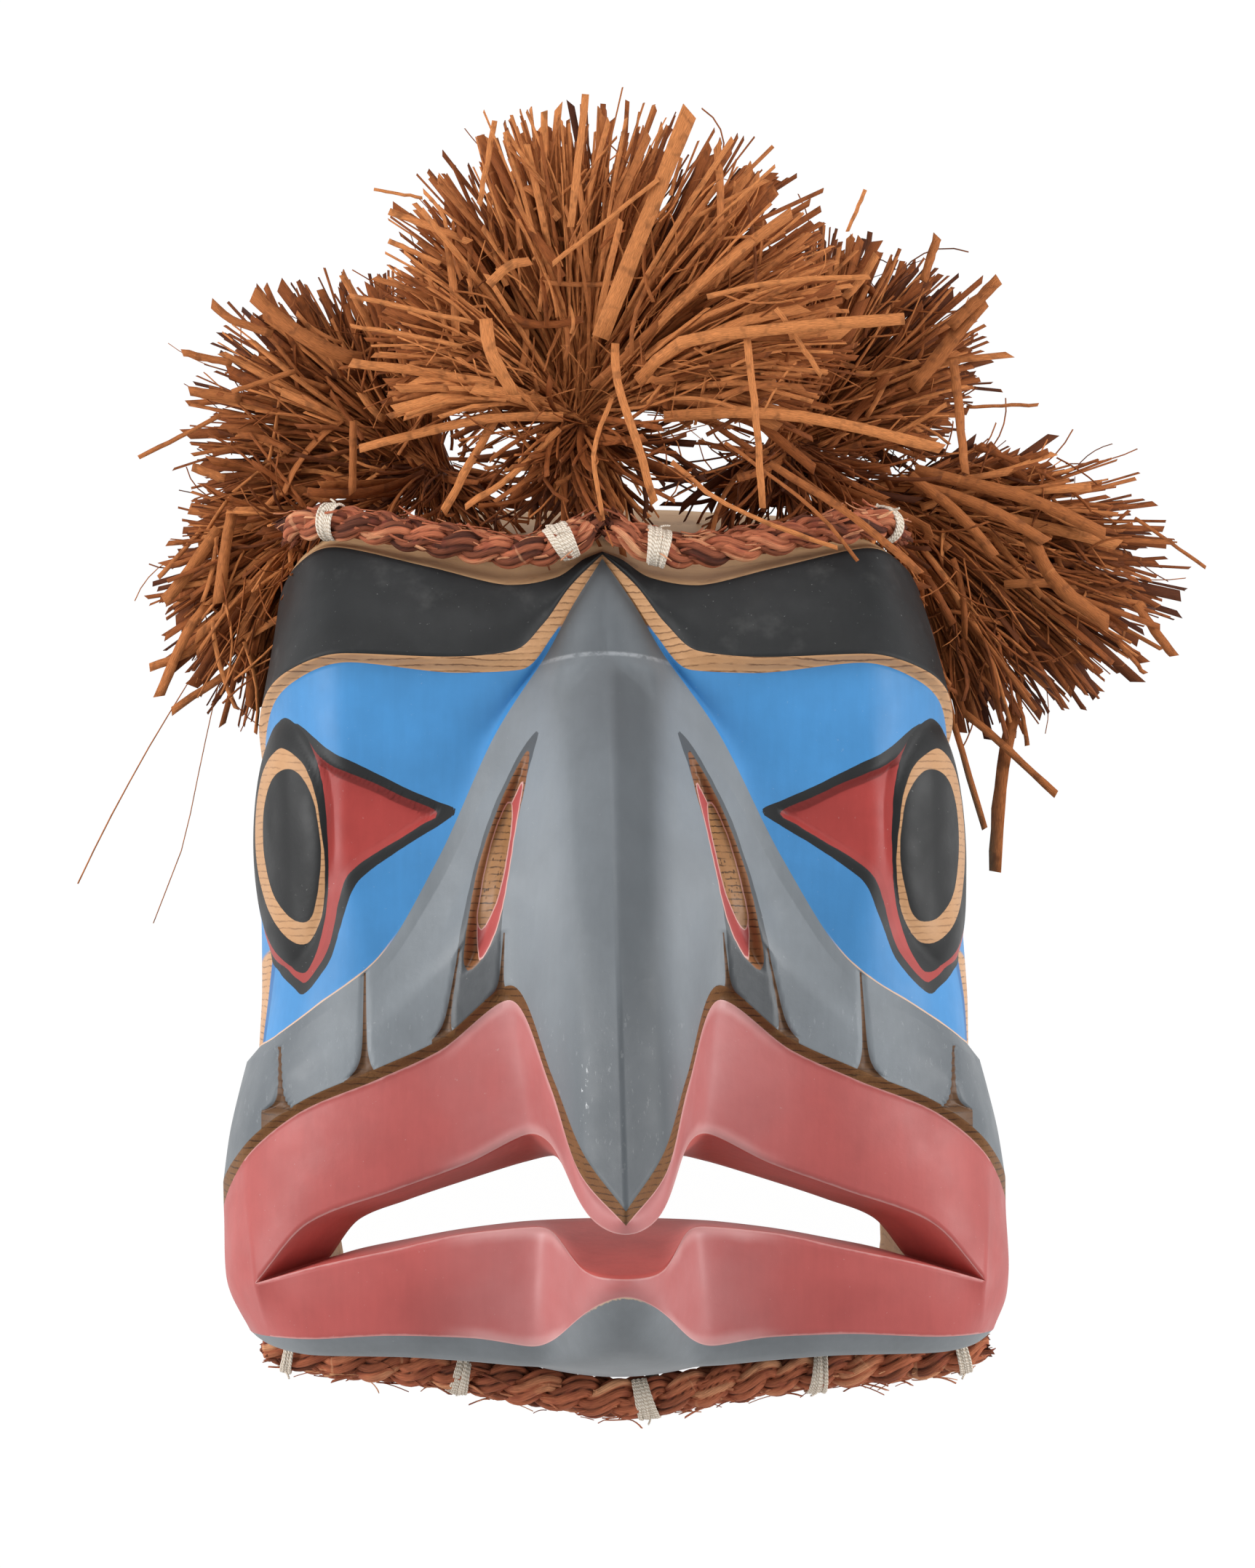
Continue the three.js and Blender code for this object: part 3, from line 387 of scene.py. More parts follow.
def reliefDepth(rows, around, marks):
    # how far the carving goes under the plain surface: bowls with smooth walls, and the eye raised by
    # swell (1 - away^2) with away = ((around - centre) / radius)^2 + ((y - centre) / radius)^2
    shape = faceRelief
    x, y, z = np.abs(rows[..., 0]), rows[..., 1], rows[..., 2]
    nostril = shape["nostrilDepth"] * smoothStep(0, shape["nostrilSlope"], -marks["nostril"])
    trigon = shape["trigonDepth"] * smoothStep(0, shape["trigonSlope"], -marks["trigon"])
    trigon *= smoothStep(-0.5, 3.5, marks["eyeBlack"]) * smoothStep(150, 192, y)
    cuts = np.minimum.reduce([cutDistance(x, y, cut) for cut in faceCuts.values()])
    cut = shape["cutDepth"] * smoothStep(0.7, -0.9, cuts)
    (eyeQ, eyeY), (wide, tall) = shape["eyeCentre"], shape["eyeRadii"]
    away = np.minimum(((around - eyeQ) / wide) ** 2 + ((y - eyeY) / tall) ** 2, 1)
    eye = shape["eyeSwell"] * (1 - away ** 2) * smoothStep(4, 24, z)
    arc = y - shape["hoodTop"] + shape["hoodFall"] * x ** 2
    hood = shape["hoodSwell"] * smoothStep(0.8, -4, arc) * smoothStep(27, 15, x) * smoothStep(165, 220, y)
    return nostril + trigon + cut - eye - hood


def meshFrom(name, points, faces, finishes, slots=None, attributes=None, uv=None):
    # one object from whole arrays, with the faces as rows of point numbers
    mesh = bpy.data.meshes.new(name)
    sizes = np.full(len(faces), faces.shape[1], dtype=np.int32)
    mesh.vertices.add(len(points))
    mesh.vertices.foreach_set("co", (np.asarray(points, np.float32) * mm).ravel())
    mesh.loops.add(faces.size)
    mesh.loops.foreach_set("vertex_index", faces.astype(np.int32).ravel())
    mesh.polygons.add(len(faces))
    mesh.polygons.foreach_set("loop_start", np.concatenate([[0], np.cumsum(sizes)[:-1]]).astype(np.int32))
    for finish in finishes:
        mesh.materials.append(finish)
    if slots is not None:
        mesh.polygons.foreach_set("material_index", slots.astype(np.int32))
    for key, values in (attributes or {}).items():
        stored = mesh.attributes.new(key, "FLOAT", "POINT").data
        stored.foreach_set("value", values.astype(np.float32).ravel())
    if uv is not None:
        corners = uv[faces.ravel()].astype(np.float32)
        mesh.uv_layers.new(name="UVMap").data.foreach_set("uv", corners.ravel())
    mesh.update(calc_edges=True)
    mesh.polygons.foreach_set("use_smooth", np.ones(len(faces), bool))
    piece = bpy.data.objects.new(name, mesh)
    bpy.context.scene.collection.objects.link(piece)
    return piece


def closedSkin(piece, rimSlot):
    # joins the sheets along their shared outlines and closes the flat back rim
    work = bmesh.new()
    work.from_mesh(piece.data)
    bmesh.ops.remove_doubles(work, verts=work.verts, dist=0.02 * mm)
    openEdges = [edge for edge in work.edges
                 if edge.is_boundary and max(vert.co.z for vert in edge.verts) < 0.1 * mm]
    filled = bmesh.ops.triangle_fill(work, edges=openEdges, use_beauty=True, normal=(0, 0, -1))["geom"]
    for face in filled:
        if isinstance(face, bmesh.types.BMFace):
            face.material_index = rimSlot
    bmesh.ops.recalc_face_normals(work, faces=work.faces)
    work.to_mesh(piece.data)
    print("carved mask:", len(work.verts), "points,", len(work.faces), "faces, open edges left:",
          sum(edge.is_boundary for edge in work.edges))
    work.free()


def carvedFace(finishes):
    # all sheets of the mask as one closed skin: lofts, joined and rounded, then carved
    across, names, corner = faceColumns(), list(finishes), stations[mouthCorner]
    sheets = []
    for outline, places, count, swell, turned, finish in faceSheets:
        inMouth = "throat" in outline[1] and "Lip" in outline[0]
        a = across[np.abs(across) <= corner + 1e-9] if inMouth else across
        sheets.append([a, loft(outline, places, a, np.linspace(0, 1, count + 1), swell)])
    upper, lower = lipSheets
    sheets[upper][1], sheets[lower][1] = joinedCheek(sheets[upper][1], sheets[lower][1], across)
    for number, shares in softSheets.items():
        sheets[number][1] = rounded(sheets[number][1], *shares)
    points, quads, slots, stored, start = [], [], [], {}, 0
    for number, (a, rows) in enumerate(sheets):
        turned, finish = faceSheets[number][-2:]
        around = np.abs(rows[..., 0]) + wall["forward"] * np.maximum(pastCorner(rows), 0)
        marks = marksAt(rows, around)
        if number in lipSheets:      # no worn edge past the mouth corner
            marks["edge"] += 3 * smoothStep(corner - 0.005, corner + 0.005, np.abs(a))
        if number <= upper:
            rows = rows - carvingWay(rows) * reliefDepth(rows, around, marks)[..., None]
        points.append(leaned(rows).reshape(-1, 3))
        quads.append(gridFaces(*rows.shape[:2], start, turned))
        slots.append(np.full(len(quads[-1]), names.index(finish)))
        for key, values in marks.items():
            stored.setdefault(key, []).append(values.ravel())
        start += len(points[-1])
    stored = {key: np.concatenate(values) for key, values in stored.items()}
    piece = meshFrom("carvedMask", np.concatenate(points), np.concatenate(quads),
                     list(finishes.values()), np.concatenate(slots), stored)
    closedSkin(piece, names.index("hollowWood"))
    return piece


def routeThrough(knots, count):
    # smooth line through a few points, evenly spaced along its length, with the way along it
    knots = np.asarray(knots, float)
    chord = wayAlong(knots)
    fine = np.linspace(0, chord[-1], 1200)
    ends = np.vstack([2 * knots[0] - knots[1], knots, 2 * knots[-1] - knots[-2]])
    i = np.clip(np.searchsorted(chord, fine, side="right") - 1, 0, len(knots) - 2)
    u = ((fine - chord[i]) / (chord[i + 1] - chord[i]))[:, None]
    line = throughFour(*(ends[i + k] for k in range(4)), u)
    way = wayAlong(line)
    at = np.linspace(0, way[-1], count)
    return np.column_stack([np.interp(at, way, line[:, k]) for k in range(3)]), at


def framesAlong(line, outward):
    # direction, outward and sideways unit vectors at every point of a line
    along = unit(np.gradient(line, axis=0))
    up = unit(outward - along * (along @ outward)[:, None])
    return along, up, np.cross(along, up)


def softNoise(rng, at, spacing):
    # gentle random curve: random heights every spacing mm, joined by cosine steps
    heights = rng.uniform(-1, 1, int(at.max() / spacing) + 3)
    place = at / spacing
    i = place.astype(int)
    u = (1 - np.cos(math.pi * (place - i))) / 2
    return heights[i] * (1 - u) + heights[i + 1] * u


def tubeMesh(centre, up, side, radius, sections, tone, way):
    # rings of points round a line, closed by a middle point at each end; radius is one number or
    # (line point, ring point)
    count, n = len(centre), len(centre) * sections
    angle = np.linspace(0, 2 * math.pi, sections, endpoint=False)
    ring = (centre[:, None] + side[:, None] * (radius * np.cos(angle))[..., None]
            + up[:, None] * (radius * np.sin(angle))[..., None])
    points = np.vstack([ring.reshape(-1, 3), centre[:1], centre[-1:]])
    i = np.arange(sections)
    k = (i + 1) % sections
    j = np.arange(count - 1)[:, None] * sections
    quads = np.stack([j + i, j + sections + i, j + sections + k, j + k], axis=-1).reshape(-1, 4)
    caps = np.vstack([np.column_stack([i, k, np.full(sections, n)]),
                      np.column_stack([k + n - sections, i + n - sections, np.full(sections, n + 1)])])
    uv = np.column_stack([np.tile(angle / (2 * math.pi), count), np.repeat(way, sections) / 10])
    uv = np.vstack([uv, [[0.5, way[0] / 10], [0.5, way[-1] / 10]]])
    return points, [quads, caps], uv, np.full(len(points), tone)


class Heap:
    # collects points and faces of many shapes, then makes one mesh of them
    def __init__(self):
        self.points, self.faces, self.uv, self.tones, self.start = [], [], [], [], 0

    def add(self, points, faces, uv, tones):
        for f in faces:
            triangles = [f[:, [0, 1, 2]], f[:, [0, 2, 3]]] if f.shape[1] == 4 else [f]
            self.faces += [three + self.start for three in triangles]
        self.points.append(points)
        self.uv.append(uv)
        self.tones.append(tones)
        self.start += len(points)

    def piece(self, name, finish):
        made = meshFrom(name, np.vstack(self.points), np.vstack(self.faces), [finish],
                        attributes={"tone": np.concatenate(self.tones)}, uv=np.vstack(self.uv))
        print(name + ":", self.start, "points,", sum(len(f) for f in self.faces), "faces")
        return made


def ribbons(rng, heap, paths, width, thick, face, tones, slant):
    # flat strips along many paths at once: paths and face are (strip, place, xyz), width is (strip) or
    # (strip, place), thick one number; each end is cut off at a random slant
    strips, places = paths.shape[:2]
    width = np.broadcast_to(width if width.ndim == 2 else width[:, None], (strips, places))
    along = unit(np.gradient(paths, axis=1))
    side = unit(np.cross(along, face))
    out, deep = side * width[..., None] / 2, np.cross(side, along) * thick / 2
    corners = np.stack([paths + out + deep, paths - out + deep,
                        paths - out - deep, paths + out - deep], axis=2)
    cut = (slant * width[:, -1] * rng.uniform(-1, 1, strips))[:, None, None] * along[:, -1:, :]
    corners[:, -1] += cut * np.array([1, -1, -1, 1.0])[None, :, None]
    s, j, i = np.meshgrid(np.arange(strips), np.arange(places - 1), np.arange(4), indexing="ij")
    base, k = s * places * 4 + j * 4, (i + 1) % 4
    quads = np.stack([base + i, base + k, base + 4 + k, base + 4 + i], axis=-1).reshape(-1, 4)
    begin = (np.arange(strips) * places * 4)[:, None]
    ends = [begin + [3, 2, 1, 0], begin + (places - 1) * 4 + [0, 1, 2, 3]]
    offset = rng.uniform(0, 50, (strips, 1, 1))
    u = np.array([1, -1, -1, 1.0]) * width[..., None] / 2 + 7 * offset
    uv = np.stack([u, np.broadcast_to(wayAlong(paths)[..., None], u.shape) + offset], axis=-1) / 10
    heap.add(corners.reshape(-1, 3), [quads] + ends, uv.reshape(-1, 2), np.repeat(tones, places * 4))


crownRoute = [(3.6, 280.4, 97), (9, 277.2, 97), (17, 273.9, 97), (27, 272.2, 96.5), (39, 273.6, 95.5),
              (52, 275.8, 94.5), (64, 278, 93), (78, 280.6, 90), (90, 282.3, 86)]
chinRoute = [(-124, -1.6, 14), (-110, -4.6, 14), (-85, -7.6, 14), (-56, -11, 14), (-30, -16.4, 14),
             (0, -21, 14), (30, -17.4, 14), (56, -13, 14), (85, -9.8, 14), (110, -7.2, 14), (128, -2.2, 14)]
crownPlait = {"outward": (0, 0.92, 0.39), "radius": 5.6, "weave": 34, "rings": 170}
plaits = {
    # side of the face, route, outward side, radius, length of one full weave, number of rings
    "plaitCrownLeft": dict(crownPlait, node="plait_crown_left", side=-1, seed=5,
                           route=crownRoute + [(100, 282, 79), (104, 280.5, 75)]),
    "plaitCrownRight": dict(crownPlait, node="plait_crown_right", side=1, seed=6,
                            route=crownRoute + [(96, 282, 79), (100, 280.5, 75)]),
    "plaitChin": dict(node="plait_chin", side=1, route=chinRoute, outward=(0, -1, 0.05), radius=7.5,
                      weave=39, rings=330, seed=7),
}
plaitShape = {
    "strandOut": 0.54, "strandLift": 0.34, "strandSize": 0.64,    # shares of the plait's radius
    "sections": 44, "bands": 7, "valley": 0.26,                   # folds of bark round each strand
    "loosePerMm": 0.9, "looseLength": (3, 10),
    "brush": 46, "brushLength": (2.5, 5.5),                       # dark strips at each cut end
}


def plaitRoute(shape):
    route = leaned([(shape["side"] * x, y, z) for x, y, z in shape["route"]])
    line, way = routeThrough(route, shape["rings"])
    along, up, side = framesAlong(line, np.array(shape["outward"], float))
    return line, way, along, up, side


def strandLine(shape, line, way, up, side, strand, taper, rng):
    # across = a sin(turn), up = b sin(2 turn), the three strands a third of a turn apart
    turn = 2 * math.pi * (way / shape["weave"] + strand / 3)
    radius = shape["radius"]
    across = plaitShape["strandOut"] * radius * np.sin(turn) + 0.07 * radius * softNoise(rng, way, 9)
    lift = plaitShape["strandLift"] * radius * np.sin(2 * turn)
    return line + side * (across * taper)[:, None] + up * (lift * taper)[:, None]


def foldedStrand(rng, centre, outward, size, way):
    # a bundle of folds: radius = size (1 - valley (1 - |sin|)^2), every fold with its own slowly changing
    # height and tone
    style = plaitShape
    sections, bands = style["sections"], style["bands"]
    along, up, side = framesAlong(centre, outward)
    angle = np.linspace(0, 2 * math.pi, sections, endpoint=False)
    twist = 0.035 * way + 0.5 * softNoise(rng, way, 14) + rng.uniform(0, 6)
    turned = bands * (angle[None] + twist[:, None]) / 2
    fold = np.floor(turned / math.pi).astype(int) % bands
    height = np.stack([softNoise(rng, way, 7) for number in range(bands)], axis=1)
    shades = np.stack([rng.uniform(0.25, 0.75) + 0.28 * softNoise(rng, way, 11)
                       for number in range(bands)], axis=1)
    rows = np.arange(len(way))[:, None]
    valley = (1 - np.abs(np.sin(turned))) ** 2
    ring = size[:, None] * (1 + 0.08 * height[rows, fold] - style["valley"] * valley
                            + 0.012 * rng.uniform(-1, 1, (len(way), sections)))
    points, faces, uv, tones = tubeMesh(centre, up, side, ring, sections, 0.3, way)
    # painted shade: darker down in the valleys between the folds
    tones[:-2] = np.clip(shades[rows, fold] - 0.5 * valley ** 2, 0, 1).ravel()
    return points, faces, uv, tones


def barkPlait(name, finish):
    # three folded strands, loose strips and hairs standing off them, and a brush of strips at both cut ends
    shape, style = plaits[name], plaitShape
    rng = np.random.RandomState(shape["seed"])
    line, way, along, up, side = plaitRoute(shape)
    radius, outward = shape["radius"], np.array(shape["outward"], float)
    taper = np.clip(0.78 + 5 * np.minimum(way, way[-1] - way) / way[-1], 0, 1)
    heap = Heap()
    for strand in range(3):
        centre = strandLine(shape, line, way, up, side, strand, taper, rng)
        size = radius * style["strandSize"] * taper * (1 + 0.07 * softNoise(rng, way, 6))
        points, faces, uv, tones = foldedStrand(rng, centre, outward, size, way)
        heap.add(points, faces, uv * [1.6, 1] + [strand * 3.7, 0], tones)
    count, brush = int(way[-1] * style["loosePerMm"]), style["brush"]
    total, places = count + 2 * brush, 6
    loose = np.arange(total) < count
    at = np.concatenate([rng.uniform(0.02, 0.98, count), np.full(brush, 0.02), np.full(brush, 0.985)])
    index = (at * (len(way) - 1)).astype(int)
    around = rng.uniform(-2.0, 2.0, total)
    around[count:] = rng.uniform(0, 2 * math.pi, 2 * brush)
    radial = side[index] * np.sin(around)[:, None] + up[index] * np.cos(around)[:, None]
    heading = along[index] * rng.choice([-1, 1], total)[:, None]
    heading[count:count + brush], heading[count + brush:] = -along[0], along[-1]
    length = rng.uniform(*style["looseLength"], total)
    length[count:] = rng.uniform(*style["brushLength"], 2 * brush)
    length = length[:, None, None]
    stand = rng.uniform(0, 0.6, total)[:, None, None] ** 2
    t = np.linspace(0, 1, places)[None, :, None]
    start = np.where(loose, rng.uniform(0.9, 1.05, total), rng.uniform(0.1, 0.9, total))
    root = line[index] + radial * (radius * start)[:, None]
    paths = (root[:, None] + heading[:, None] * (length * t) + radial[:, None] * length * stand * t ** 1.6
             + rng.uniform(-0.25, 0.25, (total, 1, 3)) * length * t ** 2)
    width = np.where(loose, rng.uniform(0.2, 1.1, total) ** 1.3, rng.uniform(0.8, 2.6, total))
    shades = np.where(loose, rng.uniform(0.2, 0.9, total), rng.uniform(0, 0.35, total))
    ribbons(rng, heap, paths, width, 0.3, np.broadcast_to(radial[:, None], paths.shape), shades, 0.8)
    return heap.piece(name, finish)


ties = {
    # plait, place along it, number of turns, slant in mm from one end of a turn to the other
    "tie_crown_left_outer": ("plaitCrownLeft", 0.84, 7, 0.3),
    "tie_crown_left_inner": ("plaitCrownLeft", 0.11, 10, 0.9),
    "tie_crown_right_inner": ("plaitCrownRight", 0.15, 10, 0.9),
    "tie_crown_right_outer": ("plaitCrownRight", 0.93, 6, 0.3),
    "tie_chin_1": ("plaitChin", 0.035, 5, 0.5),
    "tie_chin_2": ("plaitChin", 0.27, 8, -0.6),
    "tie_chin_3": ("plaitChin", 0.53, 9, 1.4),
    "tie_chin_4": ("plaitChin", 0.76, 8, -1.8),
    "tie_chin_5": ("plaitChin", 0.965, 6, -0.4),
}
# the turns lie on an oval round the plait, as shares of its radius, and reach round it by so many radians
tieShape = {
    "stringRadius": 0.52, "spacing": 0.84, "reach": 2.55, "ovalSide": 1.17, "ovalUp": 1.03,
    "places": 44, "sections": 10, "ply": 0.12, "plyTwist": 2.4,
    "tailPlaces": 12, "tailSections": 8, "tailRadius": 0.364,
}


def stringTie(node, finish):
    # turns of string over a plait: arcs side by side, each round with a fine twisted ridge
    plaitName, place, turns, slant = ties[node]
    shape, style = plaits[plaitName], tieShape
    rng = np.random.RandomState(len(node) * 31 + int(place * 100))
    line, way, along, up, side = (each[int(place * (len(each) - 1))] for each in plaitRoute(shape))
    heap, sections, radius = Heap(), style["sections"], shape["radius"]
    sweep = np.linspace(-style["reach"], style["reach"], style["places"])
    angle = np.linspace(0, 2 * math.pi, sections, endpoint=False)
    for number in range(turns):
        shift = (number - (turns - 1) / 2) * style["spacing"] + rng.uniform(-0.1, 0.1)
        bend = shift * (0.8 + 0.2 * np.cos(sweep)) + slant * sweep * 0.7
        bend = bend + 0.18 * softNoise(rng, sweep + 3, 1.4)
        reach = radius * (1 + rng.uniform(-0.01, 0.05)) + 0.16 * softNoise(rng, sweep + 3, 1.0)
        centre = (line + side * (reach * style["ovalSide"] * np.sin(sweep))[:, None]
                  + up * (reach * style["ovalUp"] * np.cos(sweep))[:, None] + along * bend[:, None])
        direction, outward = unit(np.gradient(centre, axis=0)), centre - line
        outward = unit(outward - direction * (outward * direction).sum(1, keepdims=True))
        arc = wayAlong(centre)
        ply = 1 + style["ply"] * np.cos(2 * (angle[None] - style["plyTwist"] * arc[:, None]))
        heap.add(*tubeMesh(centre, outward, np.cross(direction, outward), style["stringRadius"] * ply,
                           sections, rng.uniform(0, 1), arc))
    # two cut tails
    t = np.linspace(0, 1, style["tailPlaces"])[:, None]
    for end in (-1, 1):
        root = line + side * radius * 0.9 * end * rng.uniform(0.2, 1) + up * radius
        reach = along * rng.uniform(-4, 4) + side * end * rng.uniform(1, 3) + up * rng.uniform(0, 1.5)
        tail = root + reach * t + rng.uniform(-1, 1, 3) * t ** 2
        direction, outward, sideways = framesAlong(tail, np.array([0.3, 0.2, 0.9]))
        heap.add(*tubeMesh(tail, outward, sideways, style["tailRadius"], style["tailSections"], 0.6,
                           6 * t.ravel()))
    return heap.piece("string" + "".join(word.capitalize() for word in node.split("_")), finish)


tufts = {
    # foot in the wood, knot where it is gathered, fan from and to in degrees, half widths of the stalk at
    # the wood and at the knot, reach along the fan; the skirt of hanging strips: number, from and to in
    # degrees, shortest and longest; depth front to back, lean towards the viewer, pale as a shift of tone,
    # number of short ends in the fringe; singles are strips that stand out: width, then their way
    "tuftCentre": dict(
        node="tuft_centre", foot=(-8, 289, 50), knot=(-10, 317, 62), fan=(176, 4),
        strips=1150, stalk=(14, 8),
        reach=[66, 72, 78, 84, 94, 101, 108, 104, 113, 110, 114, 114, 108, 104, 96, 84],
        skirt=(190, 188, 352, 14, 50),
        depth=52, lean=0.25, pale=0.22, fringe=90, seed=3,
        singles=[
            (5.5, [(-4, 343, 100), (10, 378, 110), (25, 416, 116)]),
            (4.0, [(9, 329, 92), (21, 340, 108), (46, 344, 114), (96, 348, 116)]),
            (1.8, [(31, 356, 108), (58, 361, 111), (85, 362, 112)]),
            (3.7, [(18, 318, 84), (43, 319, 94), (70, 316, 98), (110, 306.5, 98)]),
            (3.0, [(-16, 318, 82), (-39, 317, 90), (-63, 312, 92), (-84, 306.5, 92)]),
            (3.0, [(-39, 328, 92), (-63, 332, 94), (-87, 335, 94)]),
            (4.3, [(-42, 349, 102), (-40, 337, 104), (-33, 324, 100)]),
            (3.0, [(-41, 360, 104), (-34, 366, 107), (-27, 368, 104)]),
            (1.6, [(-46, 348, 100), (-66, 352, 101), (-87, 357, 100)]),
            (1.4, [(-50, 340, 98), (-68, 344, 98), (-87, 347, 98)]),
            (2.7, [(1, 341, 100), (2, 326, 106), (8, 308, 106), (14, 288, 102)]),
            (1.5, [(0, 323, 98), (-6, 305, 104), (-3, 282, 103)]),
            (2.4, [(44, 342, 112), (47, 317, 112), (50, 286, 104)]),
            (1.8, [(54, 352, 110), (69, 330, 108)]),
            (1.6, [(20, 302, 96), (34, 290, 102), (53, 281, 103), (75, 273, 101)]),
            (1.5, [(15, 394, 114), (-20, 366, 112)]), (2.4, [(-9, 422, 112), (-14, 378, 114)]),
            (1.8, [(-39, 414, 106), (-44, 386, 108)]), (1.0, [(-79, 393, 92), (-63, 390, 94)]),
            (2.4, [(-74, 386, 90), (-47, 375, 96)]), (1.8, [(-74, 376, 90), (-57, 368, 94)]),
            (1.2, [(84, 392, 104), (78, 378, 104)]),
            (2.8, [(-39, 317, 84), (-47, 302, 92), (-56, 285, 92)]),
            (2.2, [(-17, 314, 84), (-33, 298, 92), (-49, 287, 93)])]),
    "tuftLeftUpper": dict(
        node="tuft_left_upper", foot=(-55, 291, 26), knot=(-59, 303, 28), fan=(194, 82),
        strips=600, stalk=(9, 7), reach=[86, 88, 92, 95, 90, 80, 76, 68, 60],
        skirt=(130, 186, 350, 14, 48), depth=36, lean=0, pale=0.0, fringe=60, seed=17,
        singles=[
            (5.0, [(-85, 340, 48), (-99, 345, 50), (-111, 353, 48), (-122, 363, 44)]),
            (2.8, [(-115, 349, 48), (-129, 354, 46), (-136, 360, 44)]),
            (2.6, [(-129, 339, 46), (-146, 343, 44)]), (3.3, [(-126, 327, 44), (-144, 330, 42)]),
            (1.5, [(-133, 321, 46), (-141, 317, 45), (-161, 307, 42)]),
            (2.5, [(-87, 318, 60), (-87, 293, 66)]), (1.8, [(-107, 336, 52), (-129, 329, 50)])]),
    "tuftLeftLower": dict(
        node="tuft_left_lower", foot=(-86, 292, 24), knot=(-94, 291, 27), fan=(248, 178),
        strips=260, stalk=(8, 6), reach=[90, 88, 76, 72, 56, 50],
        skirt=(40, 200, 290, 14, 44), depth=34, lean=0, pale=0.05, fringe=26, seed=29,
        singles=[
            (4.2, [(-134, 283, 38), (-145, 267, 38), (-153, 258, 36)]),
            (1.6, [(-140, 283, 34), (-155, 266, 34)]),
            (2.8, [(-134, 249, 34), (-145, 240, 34), (-158, 235, 32)]),
            (2.6, [(-121, 241, 30), (-130, 234, 30), (-151, 220, 28)]),
            (3.4, [(-138, 257, 36), (-146, 245, 36), (-155, 225, 32)]),
            (3.2, [(-115, 273, 34), (-122, 259, 34), (-128, 240, 32)]),
            (4.0, [(-129, 289, 40), (-131, 280, 40), (-134, 257, 38)]),
            (3.0, [(-132, 300, 40), (-143, 304, 38)]),
            (0.36, [(-128, 250, 24), (-140, 238, 24), (-168, 192, 22), (-184, 160, 20)]),
            (0.36, [(-128, 250, 22), (-136, 226, 22), (-147, 176, 20), (-158, 146, 18)])]),
    "tuftRightUpper": dict(
        node="tuft_right_upper", foot=(54, 292, 25), knot=(62, 311, 28), fan=(98, 4),
        strips=620, stalk=(9, 7), reach=[68, 76, 84, 80, 88, 94, 80, 66, 62],
        skirt=(170, 195, 352, 16, 54), depth=36, lean=0, pale=0.0, fringe=60, seed=41,
        singles=[
            (5.0, [(105, 331, 46), (130, 362, 46)]), (4.0, [(118, 352, 48), (135, 369, 46)]),
            (3.0, [(109, 368, 46), (114, 384, 44)]), (1.2, [(124, 325, 44), (149, 326, 42)]),
            (3.2, [(118, 340, 58), (122, 301, 60)])]),
    "tuftRightLower": dict(
        node="tuft_right_lower", foot=(82, 292, 24), knot=(88, 299, 27), fan=(12, -66),
        strips=800, stalk=(9, 7), reach=[46, 70, 106, 122, 124, 118, 110, 108, 94],
        skirt=(80, 215, 310, 14, 54), depth=36, lean=0, pale=-0.03, fringe=60, seed=53,
        singles=[
            (4.4, [(106, 303, 44), (145, 293, 48), (172, 281, 46)]),
            (4.0, [(106, 298, 46), (130, 290, 50), (151, 278, 49)]),
            (5.0, [(145, 280, 48), (155, 263, 50), (173, 250, 46)]),
            (3.5, [(104, 301, 48), (120, 288, 52), (133, 273, 52)]),
            (4.7, [(143, 222, 28), (138, 198, 28), (136, 164, 25)]),
            (2.6, [(124, 220, 32), (136, 210, 33), (157, 191, 30)]),
            (2.2, [(112, 251, 30), (121, 216, 32), (132, 179, 30)]),
            (2.6, [(53, 302, 92), (81, 283, 100), (103, 265, 98)]),
            (1.2, [(38, 309, 92), (67, 286, 100), (82, 269, 99)]),
            (1.2, [(183, 287, 40), (208, 270, 38)]), (3.0, [(183, 257, 42), (197, 239, 38)]),
            (1.5, [(177, 244, 40), (187, 233, 38)]), (1.6, [(143, 228, 30), (147, 208, 30)])]),
}
stripShape = {
    "fine": (0.45, 1.0), "middle": (1.0, 2.2), "broad": (2.2, 4.2),     # widths
    "shares": (0.46, 0.40, 0.14),
    "stray": 0.055, "bend": 0.16, "clump": 11, "clumpStray": 0.16,       # radians, and strips to a clump
    "splay": 0.72,                                   # share of its slant with which a strip leaves the knot
    "along": (0.0, 0.10, 0.28, 0.52, 0.77, 1.0),     # places of a strip past the knot
    "waist": (0.8, 0.75, 0.6, 0.7, 0.9, 1, 1, 1),    # its width at the stalk, the knot and those places
    "crossing": 0.2, "crossingLength": (9, 34),      # share of strips that lie across the others
    "hairs": 0.2, "hairLength": (10, 30), "hairWidth": (0.22, 0.5),
    "fringeLength": (8, 30), "fringeWidth": (0.4, 1.7),     # short ends round the knot
}


def stripWidths(rng, count):
    kind = rng.choice(3, count, p=stripShape["shares"])
    low, high = np.array([stripShape[key] for key in ("fine", "middle", "broad")])[kind].T
    return rng.uniform(low, high)


def facing(rng, strips, places, spread):
    # outward side of each strip: the viewer's direction rolled about the y axis, more along the way
    roll = rng.normal(0, spread, strips)[:, None]
    roll = roll + np.linspace(0, 1, places)[None] * rng.normal(0, 0.3, strips)[:, None]
    return np.stack([np.sin(roll), np.zeros_like(roll), np.cos(roll)], axis=-1)


def curled(root, heading, curl, step, rise, places):
    # lines in equal steps that turn evenly by their curl and rise evenly towards the viewer
    t = np.linspace(0, 1, places)[None]
    bent = heading[:, None] + curl[:, None] * t
    x, y = np.cumsum(np.cos(bent), axis=1), np.cumsum(np.sin(bent), axis=1)
    return root[:, None] + np.stack([x * step[:, None], y * step[:, None], rise[:, None] * t], axis=-1)


